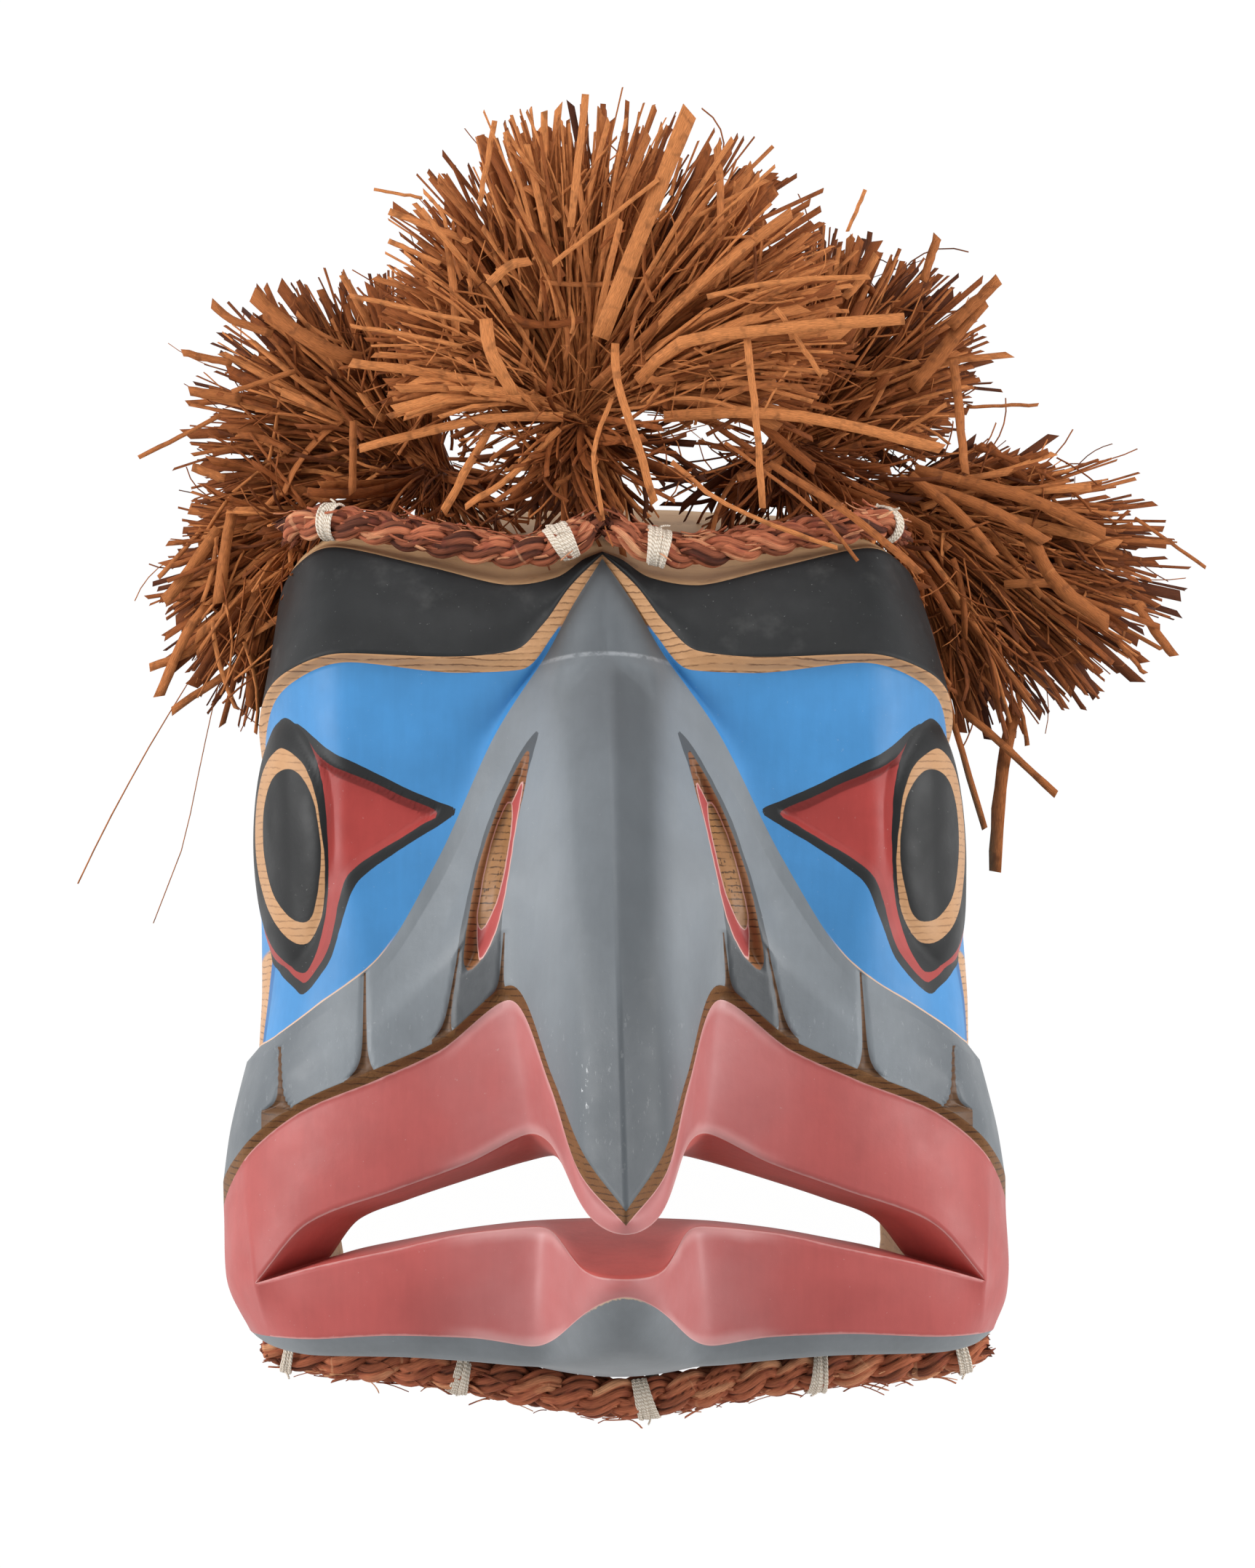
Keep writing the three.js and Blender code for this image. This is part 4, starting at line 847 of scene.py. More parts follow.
def barkTuft(name, finish):
    # stiff split strips: out of the wood, through the knot and straight on into the fan
    shape, style = tufts[name], stripShape
    rng = np.random.RandomState(shape["seed"])
    foot, knot = np.array(shape["foot"], float), np.array(shape["knot"], float)
    count, pale, depth = shape["strips"], shape["pale"], shape["depth"]
    start, end = np.radians(shape["fan"])
    heap = Heap()

    def fan(number, shortest, spread):
        # directions drawn evenly over the fan, then gathered in clumps; the reach follows the direction
        clumps = number // style["clump"] + 1
        f = np.clip((np.arange(number) + rng.uniform(0, 1, number)) / number, 0, 1)
        clump = np.clip((f * clumps + rng.normal(0, 0.8, number)).astype(int), 0, clumps - 1)
        stray = rng.normal(0, spread, number) + rng.normal(0, style["clumpStray"], clumps)[clump]
        f = 1 - np.abs(1 - np.abs(f + stray / abs(end - start)))
        reach = np.interp(f * (len(shape["reach"]) - 1), np.arange(len(shape["reach"])), shape["reach"])
        reach *= 1 - 0.08 * np.abs(rng.normal(0, 1, clumps))[clump]
        reach *= 1 - (1 - shortest) * rng.uniform(0, 1, number) ** 1.7
        level = np.clip(0.8 * rng.uniform(-1, 1, clumps)[clump] + rng.uniform(-0.35, 0.35, number), -1, 1)
        return start + (end - start) * f, reach, level

    def placed(angle, reach, level, t):
        # leaves the knot nearer the middle of the fan and splays out; rises by the slope and its level
        r, middle = reach[:, None] * t, (start + end) / 2
        splay = style["splay"] + (1 - style["splay"]) * t ** 0.8
        bend = rng.normal(0, style["bend"], len(angle))[:, None] * (t - 0.3)
        heading = middle + (angle - middle)[:, None] * splay + bend
        lift = level[:, None] * 0.5 * depth * np.sin(math.pi * (0.12 + 0.55 * t)) * t ** 0.6
        rise = r * shape["lean"] + lift
        return knot + np.stack([r * np.cos(heading), r * np.sin(heading), rise], axis=-1)

    def lay(paths, width, thick, spread, tone, toneSpread, slant=0.7):
        face = facing(rng, *paths.shape[:2], spread)
        tones = np.clip(tone + rng.normal(0, toneSpread, len(paths)), 0, 1)
        ribbons(rng, heap, paths, width, thick, face, tones, slant)

    angle, reach, level = fan(count, 0.55, style["stray"])
    t = np.array(style["along"])
    outer = placed(angle, reach, level, t)
    wide, narrow = shape["stalk"]
    turn = rng.uniform(0, 2 * math.pi, count)
    ring = np.stack([np.cos(turn), np.zeros(count), np.sin(turn)], axis=-1)
    ring *= np.sqrt(rng.uniform(0.1, 1, count))[:, None]
    outer = outer + ring[:, None] * (narrow * np.clip(1 - t * 2.2, 0, 1) ** 1.5)[None, :, None]
    stalk = np.stack([foot + ring * wide, (foot + knot) / 2 + ring * (wide + narrow) / 2 * 1.12], axis=1)
    paths = np.concatenate([stalk, outer], axis=1)
    width = stripWidths(rng, count)[:, None] * np.array(style["waist"])
    # painted shade and light: strips lying deeper in the fan are darker, those raised towards the viewer
    # paler
    tones = np.clip(0.40 + pale + 0.32 * level + rng.normal(0, 0.2, count), 0, 1)
    ribbons(rng, heap, paths, width, 0.4, facing(rng, *paths.shape[:2], 0.55), tones, 0.7)
    # strips that hang down round the knot, darker the further back they hang: painted shade
    number, low, high, short, long = shape["skirt"]
    angle = np.radians(rng.uniform(low, high, number))
    length, ahead = rng.uniform(short, long, number), rng.uniform(-0.4, 1, number)
    curl = rng.normal(0, 0.8, number)
    hang = knot + np.stack([rng.normal(0, 3, number), rng.normal(0, 3, number), 14 * ahead], axis=-1)
    lay(curled(hang, angle, curl, length / 7, 12 + 18 * ahead, 7), stripWidths(rng, number) * 0.8, 0.35,
        0.6, 0.22 + 0.36 * ahead, 0.15)
    # strips lying across the others
    crossing = int(count * style["crossing"])
    angle, reach, level = fan(crossing, 0.3, 0.1)
    middle = placed(angle, reach * 0.8, 0.35 + 0.65 * np.abs(level), np.array([1.0]))[:, 0]
    heading = angle + rng.normal(0, 0.55, crossing)
    length = rng.uniform(*style["crossingLength"], crossing)[:, None, None]
    t = np.linspace(-0.5, 0.5, 5)[None, :, None]
    way = np.stack([np.cos(heading), np.sin(heading), rng.normal(0, 0.12, crossing)], axis=-1)
    paths = (middle[:, None] + way[:, None] * length * t
             + rng.normal(0, 0.06, (crossing, 1, 3)) * length * t ** 2 * 4)
    lay(paths, stripWidths(rng, crossing) * 0.75, 0.35, 0.5, 0.6 + pale, 0.2)
    # hairs, slightly curled, and a fringe of short ends round the knot
    hairs, fringe = int(count * style["hairs"]), shape["fringe"]
    angle, reach, level = fan(hairs, 0.25, 0.35)
    root = placed(angle, reach * rng.uniform(0.2, 0.9, hairs), level, np.array([1.0]))[:, 0]
    heading = angle + rng.normal(0, 0.7, hairs)
    length = rng.uniform(*style["hairLength"], hairs)
    angle = rng.uniform(0, 2 * math.pi, fringe)
    around = np.stack([np.cos(angle), np.sin(angle), rng.uniform(-1, 1.2, fringe)], axis=-1) * 7
    root = np.concatenate([root, knot + around])
    heading = np.concatenate([heading, angle + rng.normal(0, 0.5, fringe)])
    length = np.concatenate([length, rng.uniform(*style["fringeLength"], fringe)])
    curl = rng.normal(0, 0.9, hairs + fringe)
    paths = curled(root, heading, curl, length / 5, rng.normal(0, 0.25, hairs + fringe) * length, 6)
    width = np.concatenate([rng.uniform(*style["hairWidth"], hairs),
                            rng.uniform(*style["fringeWidth"], fringe)])
    lay(paths, width, 0.24, 0.6, 0.5 + pale, 0.22, 0.5)
    # the strips that stand out one by one
    for width, knots in shape["singles"]:
        line = routeThrough(knots, 9)[0] + rng.normal(0, 0.12, (9, 3))
        width = width * rng.uniform(0.92, 1.08, 9)[None]
        ribbons(rng, heap, line[None], width, 0.5, facing(rng, 1, 9, 0.18), np.array([0.72 + pale]), 0.4)
    return heap.piece(name, finish)


def shade(red, green, blue):
    # a colour as a paint chart gives it, 0 to 255, turned into Blender's linear values
    c = np.array([red, green, blue]) / 255
    linear = np.where(c <= 0.04045, c / 12.92, ((c + 0.055) / 1.055) ** 2.4)
    return (*linear.tolist(), 1.0)


paints = {
    "charcoal": shade(37, 38, 39), "black": shade(23, 24, 25), "dust": shade(120, 120, 118),
    "blue": shade(68, 134, 190), "shadeBlue": shade(44, 104, 160), "bareSeam": shade(206, 172, 146),
    "grey": shade(117, 123, 128), "leafShadeGrey": shade(82, 85, 88), "chinGrey": shade(112, 117, 121),
    "paintedLightGrey": shade(156, 160, 164), "paintedShadeGrey": shade(58, 62, 66), "wornGrey": shade(190, 194, 198),
    "scuff": shade(206, 208, 210), "red": shade(160, 60, 56), "wallShadeRed": shade(112, 36, 33),
    "nostrilRed": shade(170, 78, 76), "nostrilRim": shade(206, 160, 152), "ovalHighlight": shade(200, 152, 144),
    # the cut colour is the painted shade inside the thin cuts
    "pit": shade(52, 32, 18), "cut": shade(62, 40, 24), "ringWood": shade(172, 130, 92),
    "lipRed": shade(170, 80, 77), "lipSheen": shade(192, 136, 136), "lipPeakHighlight": shade(214, 170, 168),
    "lipRubbed": shade(214, 164, 160), "mouthLitRed": shade(186, 90, 84), "wornChin": shade(196, 168, 140),
    "specks": (0.62, 0.62, 0.60, 1),
}
woods = {
    # light, deep, ring line
    "bare": (shade(214, 168, 124), shade(186, 138, 96), shade(98, 66, 42)),
    "shadow": (shade(132, 92, 54), shade(98, 64, 36), shade(52, 33, 20)),
    "crown": (shade(208, 170, 128), shade(188, 148, 108), shade(98, 66, 42)),
    "hollow": (shade(186, 144, 102), shade(154, 114, 76), shade(98, 66, 42)),
    "nostrilWallShade": (shade(148, 98, 62), shade(112, 72, 44), shade(52, 33, 20)),
    "nostrilFloor": (shade(168, 124, 82), shade(136, 96, 60), shade(62, 40, 24)),
}
barks = {
    # low, middle and high tone of a strip, dark patches
    "plaitedBark": (shade(70, 34, 22), shade(186, 108, 76), shade(226, 168, 126), shade(132, 58, 46)),
    "shreddedBark": (shade(80, 38, 15), shade(148, 82, 38), shade(208, 134, 78), shade(70, 34, 13)),
}
surface = {
    "ringSpacing": 2.3, "ringWander": 2.6, "ringShiver": 0.35,    # mm; the other two in rings
    "brushed": (0.72, 1.25), "brushShow": 0.22, "speckShow": 0.16,
    "fibreLow": (0.55, 0.5, 0.45, 1), "fibreHigh": (1.15, 1.12, 1.1, 1), "fibreShow": 0.35,
}


class Value:
    # a number or colour on its way between shader nodes; + - * add the node that works it out
    def __init__(self, finish, socket):
        self.finish, self.socket = finish, socket

    def maths(self, operation, other=0.0):
        return self.finish.add("ShaderNodeMath", {0: self, 1: other}, operation=operation)

    def __add__(self, other):
        return self.maths("ADD", other)

    def __sub__(self, other):
        return self.maths("SUBTRACT", other)

    def __mul__(self, other):
        return self.maths("MULTIPLY", other)

    def __abs__(self):
        return self.maths("ABSOLUTE")

    def step(self, low, high, start=0.0, end=1.0):
        # start up to low, end from high on, smooth between
        return self.finish.add("ShaderNodeMapRange", {0: self, 1: low, 2: high, 3: start, 4: end},
                               interpolation_type="SMOOTHSTEP")

    def between(self, a, b, c, d, share=1.0):
        # rises from a to b, falls from c to d
        return self.step(a, b) * self.step(d, c) * share


class Finish:
    # a material put together node by node; colours are laid one over the other with paint
    def __init__(self, name, roughness=0.6, specular=0.35):
        self.material = bpy.data.materials.new(name)
        self.material.use_nodes = True
        self.tree = self.material.node_tree
        self.shader = self.tree.nodes["Principled BSDF"]
        self.shader.inputs["Roughness"].default_value = roughness
        self.shader.inputs["Specular IOR Level"].default_value = specular
        self.place = self.add("ShaderNodeTexCoord", {}, "Object")

    def add(self, kind, inputs, output=0, **settings):
        node = self.tree.nodes.new(kind)
        for key, value in settings.items():
            setattr(node, key, value)
        for key, value in inputs.items():
            self.feed(node.inputs[key], value)
        return Value(self, node.outputs[output])

    def feed(self, socket, value):
        if isinstance(value, Value):
            self.tree.links.new(value.socket, socket)
        else:
            socket.default_value = value

    def mix(self, amount, a, b, blend="MIX"):
        return self.add("ShaderNodeMix", {0: amount, 6: a, 7: b}, 2, data_type="RGBA", blend_type=blend)

    def mark(self, name):
        return self.add("ShaderNodeAttribute", {}, "Fac", attribute_name=name)

    def axes(self, place=None):
        split = self.add("ShaderNodeSeparateXYZ", {0: place or self.place}).socket.node
        return [Value(self, output) for output in split.outputs]

    def stretched(self, by, place=None):
        return self.add("ShaderNodeVectorMath", {0: place or self.place, 1: by}, operation="MULTIPLY")

    def noise(self, scale, detail=2.0, rough=0.5, place=None):
        return self.add("ShaderNodeTexNoise", {"Vector": place or self.place, "Scale": scale,
                                               "Detail": detail, "Roughness": rough})

    def cells(self, scale, by, **settings):
        return self.add("ShaderNodeTexVoronoi", {"Vector": self.stretched(by), "Scale": scale}, "Distance",
                        **settings)

    def grain(self, wood, spacing=surface["ringSpacing"], strength=0.75):
        # level growth rings: a sine in y with a slow wander, sharpened to thin lines, over cloudy tones
        light, deep, line = woods[wood]
        level = self.axes()[1] * (1 / mm / spacing)
        level = level + self.noise(22.0) * surface["ringWander"] + self.noise(420.0) * surface["ringShiver"]
        self.ring = (level * (2 * math.pi)).maths("SINE")
        broken = self.noise(160.0, 3.0).step(0.30, 0.62)
        fibre = self.noise(900.0, 2.0, 0.6, self.stretched((0.25, 1.4, 1.0)))
        cloud = self.mix(self.noise(90.0, 3.0), deep, light)
        fibre = self.mix(fibre, surface["fibreLow"], surface["fibreHigh"])
        cloud = self.mix(surface["fibreShow"], cloud, fibre, "MULTIPLY")
        return self.mix(self.ring.step(0.62, 0.98) * broken * strength, cloud, line)

    def coat(self, colour, variation):
        # brushed flat paint: broad clouding, fine brush streaks and a scatter of pale specks
        dark, pale = [tuple(min(1, c * (1 + change)) for c in paints[colour][:3]) + (1,)
                      for change in (-variation, variation)]
        cloud = self.mix(self.noise(34.0, 4.0, 0.6).step(0.3, 0.7), dark, pale)
        streak = self.noise(520.0, 2.0, 0.5, self.stretched((1.0, 0.12, 0.6)))
        streak = self.mix(streak, *((level, level, level, 1) for level in surface["brushed"]))
        specks = self.noise(700.0, 2.0, 0.7).step(0.70, 0.78) * surface["speckShow"]
        return self.mix(specks, self.mix(surface["brushShow"], cloud, streak, "MULTIPLY"), paints["specks"])

    def inside(self, name, at=0.0, soft=0.12):
        # 1 inside a painted outline
        return (self.mark(name) + self.wobble * 0.5).step(at + 0.25 + soft, at + 0.25 - soft)

    def paint(self, amount, colour):
        # lays one more colour over the others, as far as amount says; a name is one of the paints
        self.colour = self.mix(amount, self.colour, paints[colour] if isinstance(colour, str) else colour)

    def done(self, height, strength, distance, sheen=None):
        # fine unevenness, and for paint a roughness that varies in patches of scale between low and high
        bump = self.add("ShaderNodeBump", {"Height": height, "Strength": strength, "Distance": distance})
        self.feed(self.shader.inputs["Normal"], bump)
        self.feed(self.shader.inputs["Base Color"], self.colour)
        if sheen:
            scale, low, high = sheen
            self.feed(self.shader.inputs["Roughness"], self.noise(scale, 3.0).step(0.2, 0.8, low, high))
        return self.material


def crownWoodFinish():
    f = Finish("crownWood", 0.62, 0.25)
    f.colour = f.grain("crown", 6.0, 0.25)
    return f.done(f.noise(700.0, 3.0), 0.25, 0.6 * mm)


def bevelWoodFinish():
    f = Finish("bevelWood", 0.55, 0.3)
    f.colour = f.grain("bare")
    return f.done(f.ring, 0.12, 0.4 * mm)


def grooveWoodFinish():
    f = Finish("grooveWood", 0.6, 0.25)
    f.colour = f.grain("shadow")
    return f.done(f.noise(900.0, 3.0), 0.4, 0.5 * mm)


def hollowWoodFinish():
    # plainer inside: straight grain and the shallow scallops left by a gouge
    f = Finish("hollowWood", 0.7, 0.2)
    f.colour = f.grain("hollow", 4.0, 0.35)
    return f.done(f.cells(95.0, (1.0, 0.55, 1.0), feature="SMOOTH_F1"), 0.55, 1.6 * mm)


def browFinish():
    f = Finish("browPaint", 0.5, 0.22)
    f.colour = f.coat("charcoal", 0.14)
    f.paint(f.noise(55.0, 4.0, 0.65).step(0.55, 0.8) * 0.14, "dust")
    return f.done(f.noise(420.0, 3.0, 0.6), 0.12, 0.5 * mm, (80.0, 0.44, 0.6))


def mouthFinish():
    f = Finish("mouthPaint", 0.6, 0.3)
    # painted light: the red inside the mouth is paler than the lip red, against the shade in the hollow
    f.colour = f.coat("mouthLitRed", 0.12)
    return f.done(f.noise(300.0, 3.0, 0.6), 0.2, 0.6 * mm)


socketLooks = {
    "bareAbove": (247, 249), "bareBeside": (30, 28),      # wood beside the forehead: from y, up to x
    "shadowSide": (-6, 4),                                # that wood is in shadow left of this x
    # low on the side wall the blue ends above y = 0.25 z + this, and wood shows below this z; a darker blue
    # band just above that wood, below the other z, is painted shade
    "lowWood": (123, 121), "lowSlope": 0.25, "lowWoodDepth": (70, 68.5), "lowShadeDepth": (75, 73),
    "seam": (0.95, 0.6), "seamFrom": (70, 78), "seamBelow": (152, 146),   # a bare line along the grey cheek
    # the upper part of the carved wall round the red is given painted shade in a darker red
    "wall": (-2.8, -2.2), "wallShade": (183.5, 186.5, 0.12, 0.85),         # the carved wall round the red
}


def socketFinish():
    f, looks = Finish("socketPaint", 0.5, 0.3), socketLooks
    f.wobble = f.noise(160.0)      # the waver of a brushed edge
    across, y, z = [axis * (1 / mm) for axis in f.axes()]
    x = abs(across)
    f.colour = f.coat("blue", 0.07)
    wood, shadowWood = f.grain("bare"), f.grain("shadow")
    beside = (f.wobble * 2.0 + y).step(*looks["bareAbove"]) * x.step(*looks["bareBeside"])
    f.paint(beside, f.mix(across.step(*looks["shadowSide"]), wood, shadowWood))
    below = (y - z * looks["lowSlope"]).step(*looks["lowWood"])
    # painted shade: a darker blue band low on the side wall, where the wall turns away
    f.paint(below * z.step(*looks["lowShadeDepth"]), "shadeBlue")
    f.paint(below * z.step(*looks["lowWoodDepth"]), wood)
    seam = (f.mark("edge") + f.wobble * 0.5).step(*looks["seam"])
    f.paint(seam * (x.step(*looks["seamFrom"]) * y.step(*looks["seamBelow"])), "bareSeam")
    f.paint(f.inside("trigonBorder"), f.coat("charcoal", 0.12))
    # painted shade: darker red on the upper part of the carved wall round the red
    slope = (f.wobble * 0.6 + f.mark("trigon")).step(*looks["wall"])
    red = f.mix(slope * y.step(*looks["wallShade"]), f.coat("red", 0.10), paints["wallShadeRed"])
    f.paint(f.inside("trigon"), red)
    f.paint(f.inside("eyeBlack"), f.coat("black", 0.12))
    f.paint(f.inside("eyeRing"), f.mix(0.45, wood, paints["ringWood"]))
    f.paint(f.inside("pupil"), f.coat("black", 0.10))
    return f.done(f.noise(420.0, 3.0, 0.6), 0.10, 0.5 * mm, (70.0, 0.42, 0.56))


def cutAmount(f, drawn, y, cut):
    # the cut's own outline worked out at every point, so that thin lines stay whole
    tipX, tipY, footX, footY, tipHalf, footHalf, flare = cut
    t = ((y - tipY) * (1 / (footY - tipY))).maths("MINIMUM", 1.1)
    half = t * (footHalf - tipHalf) + tipHalf + t.maths("MAXIMUM").maths("POWER", 9.0) * (flare - footHalf)
    beside = abs(drawn - (t * (footX - tipX) + tipX)) - half
    return beside.step(0.12, -0.12) * t.step(-0.02, 0.0)


beakLooks = {
    # each band across the beak, of painted shade, painted light or wear: rises from, full from, full to,
    # gone at, and how strong
    "paintedLightFacet": (10, 20, 26, 60), "paintedLightFacetTop": (236, 214, 0, 0.24),
    "ridge": (-25, -3, 9, 23, 0.34), "ridgeRight": (-1.5, 2, 9, 22, 0.28),
    "ridgeTop": (-1, -9, 0.35, 1), "forehead": (-0.5, 1, 0, 0.30), "darkest": 0.72,
    "low": (150, 88), "lowAcross": (34, 26, 0, 0.34),
    "cheek": (88, 112, 0, 0.42), "tip": (114, 84, 0, 0.34), "tipAcross": (24, 18),
    "wornLine": (-1.4, -0.5, 0, 0.6), "wornAcross": (27, 16, 0, 0.34),      # under the forehead
    "scuffAcross": (-12.6, -11.6, -10.2, -9.2), "scuffUp": (78, 86, 104, 108, 0.9),
    "flecksUp": (66, 80, 116, 128, 0.12),
    "pitsUp": (155, 160, 169, 174, 0.7), "pitsElsewhere": 0.12, "pitSize": (0.34, 0.16),
}


def beakFinish():
    f, looks = Finish("beakPaint", 0.46, 0.35), beakLooks
    f.wobble = f.noise(160.0)
    x, y = [axis * (1 / mm) for axis in f.axes()[:2]]
    drawn = f.mark("drawn")
    f.colour = f.coat("grey", 0.08)
    # painted light: paler grey on the facets beside the ridge
    f.paint(drawn.between(*looks["paintedLightFacet"]) * y.step(*looks["paintedLightFacetTop"]), "paintedLightGrey")
    # painted shade: darker grey along the ridge, most to the right of it, on the forehead, the cheeks, low
    # down and at the tip
    arc = y - faceRelief["hoodTop"] + drawn * drawn * faceRelief["hoodFall"]
    ridge = (x.between(*looks["ridge"]) + x.between(*looks["ridgeRight"])) * arc.step(*looks["ridgeTop"])
    lowShade = y.step(*looks["low"]) * drawn.step(*looks["lowAcross"])
    dark = (ridge + (arc.step(*looks["forehead"]) + lowShade)).maths("MINIMUM", looks["darkest"])
    dark = dark.maths("MAXIMUM", drawn.step(*looks["cheek"]))
    f.paint(dark.maths("MAXIMUM", y.step(*looks["tip"]) * drawn.step(*looks["tipAcross"])), "paintedShadeGrey")
    # pale rubbed line under the forehead, pale flecks and one long scuff low on the beak
    worn = f.noise(240.0, 3.0, 0.7).step(0.35, 0.6)
    f.paint(arc.between(*looks["wornLine"]) * drawn.step(*looks["wornAcross"]) * worn, "wornGrey")
    scuff = f.noise(300.0, 4.0, 0.75, f.stretched((2.6, 0.8, 0.7))).step(0.60, 0.68)
    streak = x.between(*looks["scuffAcross"]) * y.between(*looks["scuffUp"])
    f.paint(streak.maths("MAXIMUM", y.between(*looks["flecksUp"])) * scuff, "scuff")
    # painted shade: the darker grey leaf round the nostril stands for the shade of the hollow there
    f.paint(f.inside("nostrilLeaf"), f.coat("leafShadeGrey", 0.14))
    # painted shade inside the cuts: the wood's shadow tones mixed half with a dark brown
    cutShadeWood = f.mix(0.5, f.grain("shadow"), paints["cut"])
    for cut in faceCuts.values():
        f.paint(cutAmount(f, drawn, y, cut), cutShadeWood)
    # painted shade: the nostril's carved walls in darker wood tones
    f.paint(f.inside("nostril"), f.grain("nostrilWallShade", strength=0.9))
    f.paint(f.inside("nostrilRed"), "nostrilRim")
    f.paint(f.inside("nostrilRed", -0.3), f.coat("nostrilRed", 0.12))
    # painted highlight: a thin pale line round the oval's edge
    f.paint(f.inside("nostrilOval", 0.35), "ovalHighlight")
    pits = f.cells(620.0, (1.0, 0.75, 1.0)).step(*looks["pitSize"])
    pitted = pits * (y.between(*looks["pitsUp"]) + looks["pitsElsewhere"])
    inOval = f.inside("nostrilOval")
    f.paint(inOval, f.mix(pitted, f.grain("nostrilFloor", strength=0.95), paints["pit"]))
    height = f.noise(420.0, 3.0, 0.6) - pitted * inOval * 1.5
    return f.done(height, 0.12, 0.6 * mm, (70.0, 0.40, 0.54))


lipLooks = {
    "pale": (75, 22, 0, 0.55), "peakEdge": (7, 2.5), "peakAcross": (14, 20, 40, 60, 0.5),
    "rubbedEdge": (1.25, 0.55), "rubbed": 0.55, "chinWorn": (2.3, 1.7), "chinWornAcross": (12, 4),
}


def lipFinish():
    f, looks = Finish("lipPaint", 0.5, 0.4), lipLooks
    x, edge = abs(f.axes()[0] * (1 / mm)), f.mark("edge")
    f.colour = f.coat("lipRed", 0.08)
    # painted sheen: paler red in patches on the lips towards the beak
    f.paint(x.step(*looks["pale"]) * f.noise(26.0, 4.0, 0.6).step(0.25, 0.75, 0.45, 1.0), "lipSheen")
    # pale crests of the lips near the beak: painted highlight, and rubbed paint as well
    peakHighlight = (f.noise(60.0, 3.0) * 4.0 + edge).step(*looks["peakEdge"])
    f.paint(peakHighlight * x.between(*looks["peakAcross"]), "lipPeakHighlight")
    f.paint((edge + f.noise(300.0, 3.0) * 0.8).step(*looks["rubbedEdge"]) * looks["rubbed"], "lipRubbed")
    return f.done(f.noise(420.0, 3.0, 0.6), 0.10, 0.5 * mm, (60.0, 0.42, 0.58))


def chinFinish():
    f, looks = Finish("chinPaint", 0.5, 0.4), lipLooks
    f.colour = f.coat("chinGrey", 0.10)
    worn = (f.mark("edge") + f.noise(380.0, 4.0, 0.7) * 3.0).step(*looks["chinWorn"])
    f.paint(worn * abs(f.axes()[0] * (1 / mm)).step(*looks["chinWornAcross"]), "wornChin")
    return f.done(f.noise(420.0, 3.0, 0.6), 0.12, 0.5 * mm)


def barkFinish(name):
    # split bark: tone varies from strip to strip, lengthwise fibres from the piece's own map, pale joints
    f = Finish(name, 0.75, 0.25)
    uv, tone = f.add("ShaderNodeTexCoord", {}, "UV"), f.mark("tone")
    low, middle, high, dark = barks[name]
    f.colour = f.mix(tone.step(0.0, 0.55), low, middle)
    f.paint(tone.step(0.5, 1.0), high)
    fibre = f.noise(9.0, 3.0, 0.6, f.stretched((6.0, 0.35, 1.0), uv))
    fibreTone = f.mix(fibre.step(0.25, 0.75), (0.45, 0.38, 0.34, 1), (1.25, 1.2, 1.15, 1))
    f.colour = f.mix(0.75, f.colour, fibreTone, "MULTIPLY")
    f.paint(f.noise(2.2, 2.0, 0.5, uv).step(0.52, 0.72) * 0.45, dark)
    f.paint(f.noise(3.1, 2.0, 0.5, f.stretched((0.1, 1.0, 1.0), uv)).step(0.66, 0.72) * 0.35, high)
    return f.done(fibre, 0.5, 0.6 * mm)


def stringFinish():
    f = Finish("cottonString", 0.85, 0.2)
    u, v = f.axes(f.add("ShaderNodeTexCoord", {}, "UV"))[:2]
    ply = (u * (4 * math.pi) + v * -48.0).maths("SINE")
    fuzz = f.noise(1400.0, 3.0, 0.7)
    # painted shade: darker down in the grooves of the twist
    yarn = f.mix(ply.step(-1.0, 0.4), shade(196, 178, 158), shade(236, 226, 212))
    f.colour = f.mix(0.4, yarn, f.mix(fuzz, (0.75, 0.72, 0.68, 1), (1.1, 1.1, 1.1, 1)), "MULTIPLY")
    return f.done(ply + fuzz * 0.6, 0.35, 0.5 * mm)


maskFinishes = {
    "crownWood": crownWoodFinish(), "browPaint": browFinish(), "bevelWood": bevelWoodFinish(),
    "socketPaint": socketFinish(), "beakPaint": beakFinish(), "grooveWood": grooveWoodFinish(),
    "lipPaint": lipFinish(), "chinPaint": chinFinish(), "mouthPaint": mouthFinish(),
    "hollowWood": hollowWoodFinish(),
}
plaitBark, tuftBark, string = barkFinish("plaitedBark"), barkFinish("shreddedBark"), stringFinish()


def dress(piece, slot, *nodes):
    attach(piece, "root")
    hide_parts(*nodes)


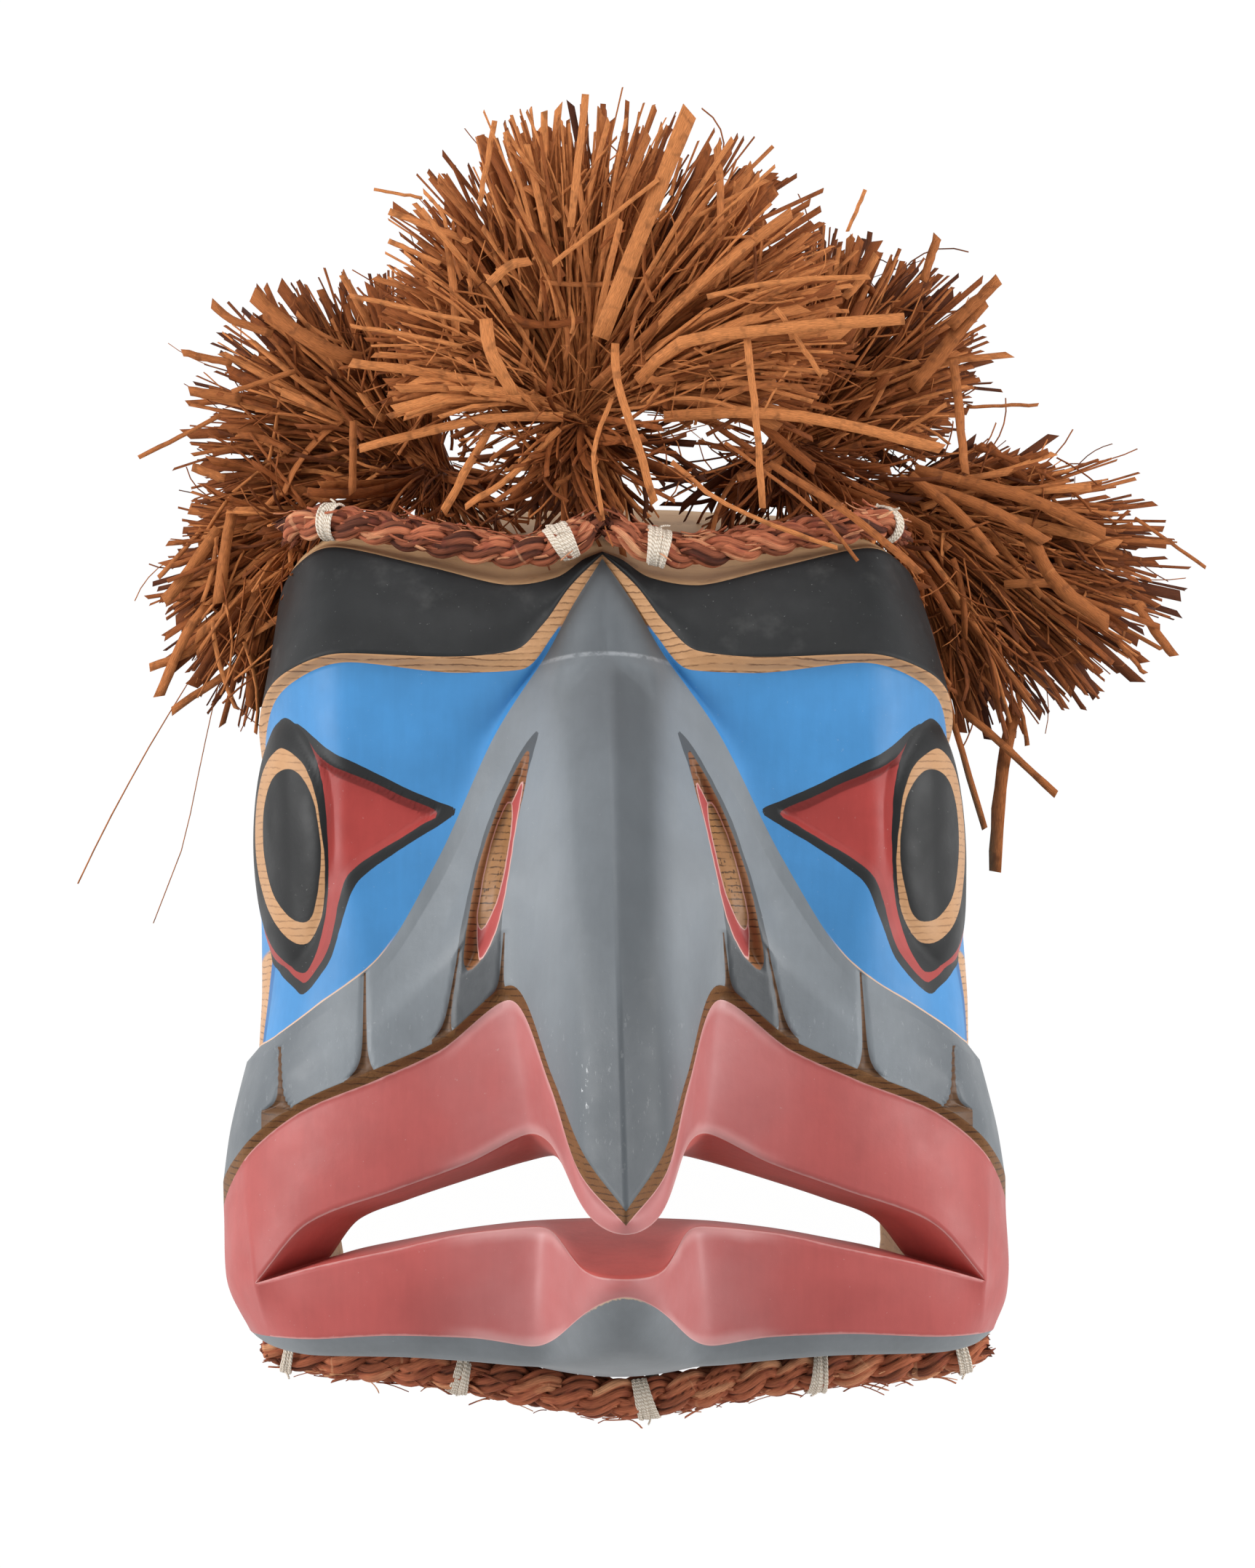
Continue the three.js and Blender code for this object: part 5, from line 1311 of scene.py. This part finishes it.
dress(carvedFace(maskFinishes), "painted_cedar", "mask")
for name, shape in plaits.items():
    dress(barkPlait(name, plaitBark), "plaited_bark", shape["node"])
for node in ties:
    dress(stringTie(node, string), "cotton_string", node)
for name, shape in tufts.items():
    dress(barkTuft(name, tuftBark), "shredded_bark", shape["node"])
print("pieces made")

floor = {"reach": 9000, "below": 0.6, "glow": 1.0}
lights = {
    # place in metres, size, power in watts
    "leftSoftbox": ((-1.55, 0.35, 0.80), 0.9, 25),
    "rightSoftbox": ((1.60, 0.30, 0.80), 0.9, 22),
    "topSoftbox": ((0.0, 1.50, 0.95), 1.1, 10),
    "lowFill": ((0.0, -1.3, 1.0), 1.2, 3),
}
studio = {"aim": (0, 0.13, 0.08), "roomLight": 0.40}


def paleFloor():
    # evenly lit from below, so no shadow falls on it
    f = Finish("palePaper", 0.9, 0.1)
    glow = f.mix(f.noise(3.0), (0.99, 0.99, 0.99, 1), (1, 1, 1, 1))
    f.feed(f.shader.inputs["Emission Color"], glow)
    f.shader.inputs["Emission Strength"].default_value = floor["glow"]
    f.feed(f.shader.inputs["Base Color"], f.mix(f.noise(9.0), (0.01, 0.01, 0.01, 1), (0.02, 0.02, 0.02, 1)))
    corners = np.array([[-1, -1, 0], [1, -1, 0], [1, 1, 0], [-1, 1, 0]]) * floor["reach"]
    corners = corners - [0, 0, floor["below"]]
    meshFrom("paleFloor", corners, np.array([[0, 1, 2, 3]]), [f.material])


def studioLights():
    for name, (place, size, power) in lights.items():
        data = bpy.data.lights.new(name, "AREA")
        data.size, data.energy = size, power
        lamp = bpy.data.objects.new(name, data)
        aim = Vector(studio["aim"]) - Vector(place)
        lamp.matrix_world = Matrix.Translation(place) @ aim.to_track_quat("-Z", "Y").to_matrix().to_4x4()
        bpy.context.scene.collection.objects.link(lamp)
    world = bpy.data.worlds.new("studio")
    world.use_nodes = True
    room = world.node_tree.nodes["Background"].inputs
    room["Color"].default_value = (1, 1, 1, 1)
    room["Strength"].default_value = studio["roomLight"]
    bpy.context.scene.world = world
    bpy.context.scene.view_settings.view_transform = "Standard"


paleFloor()
studioLights()
print("floor and lights set")
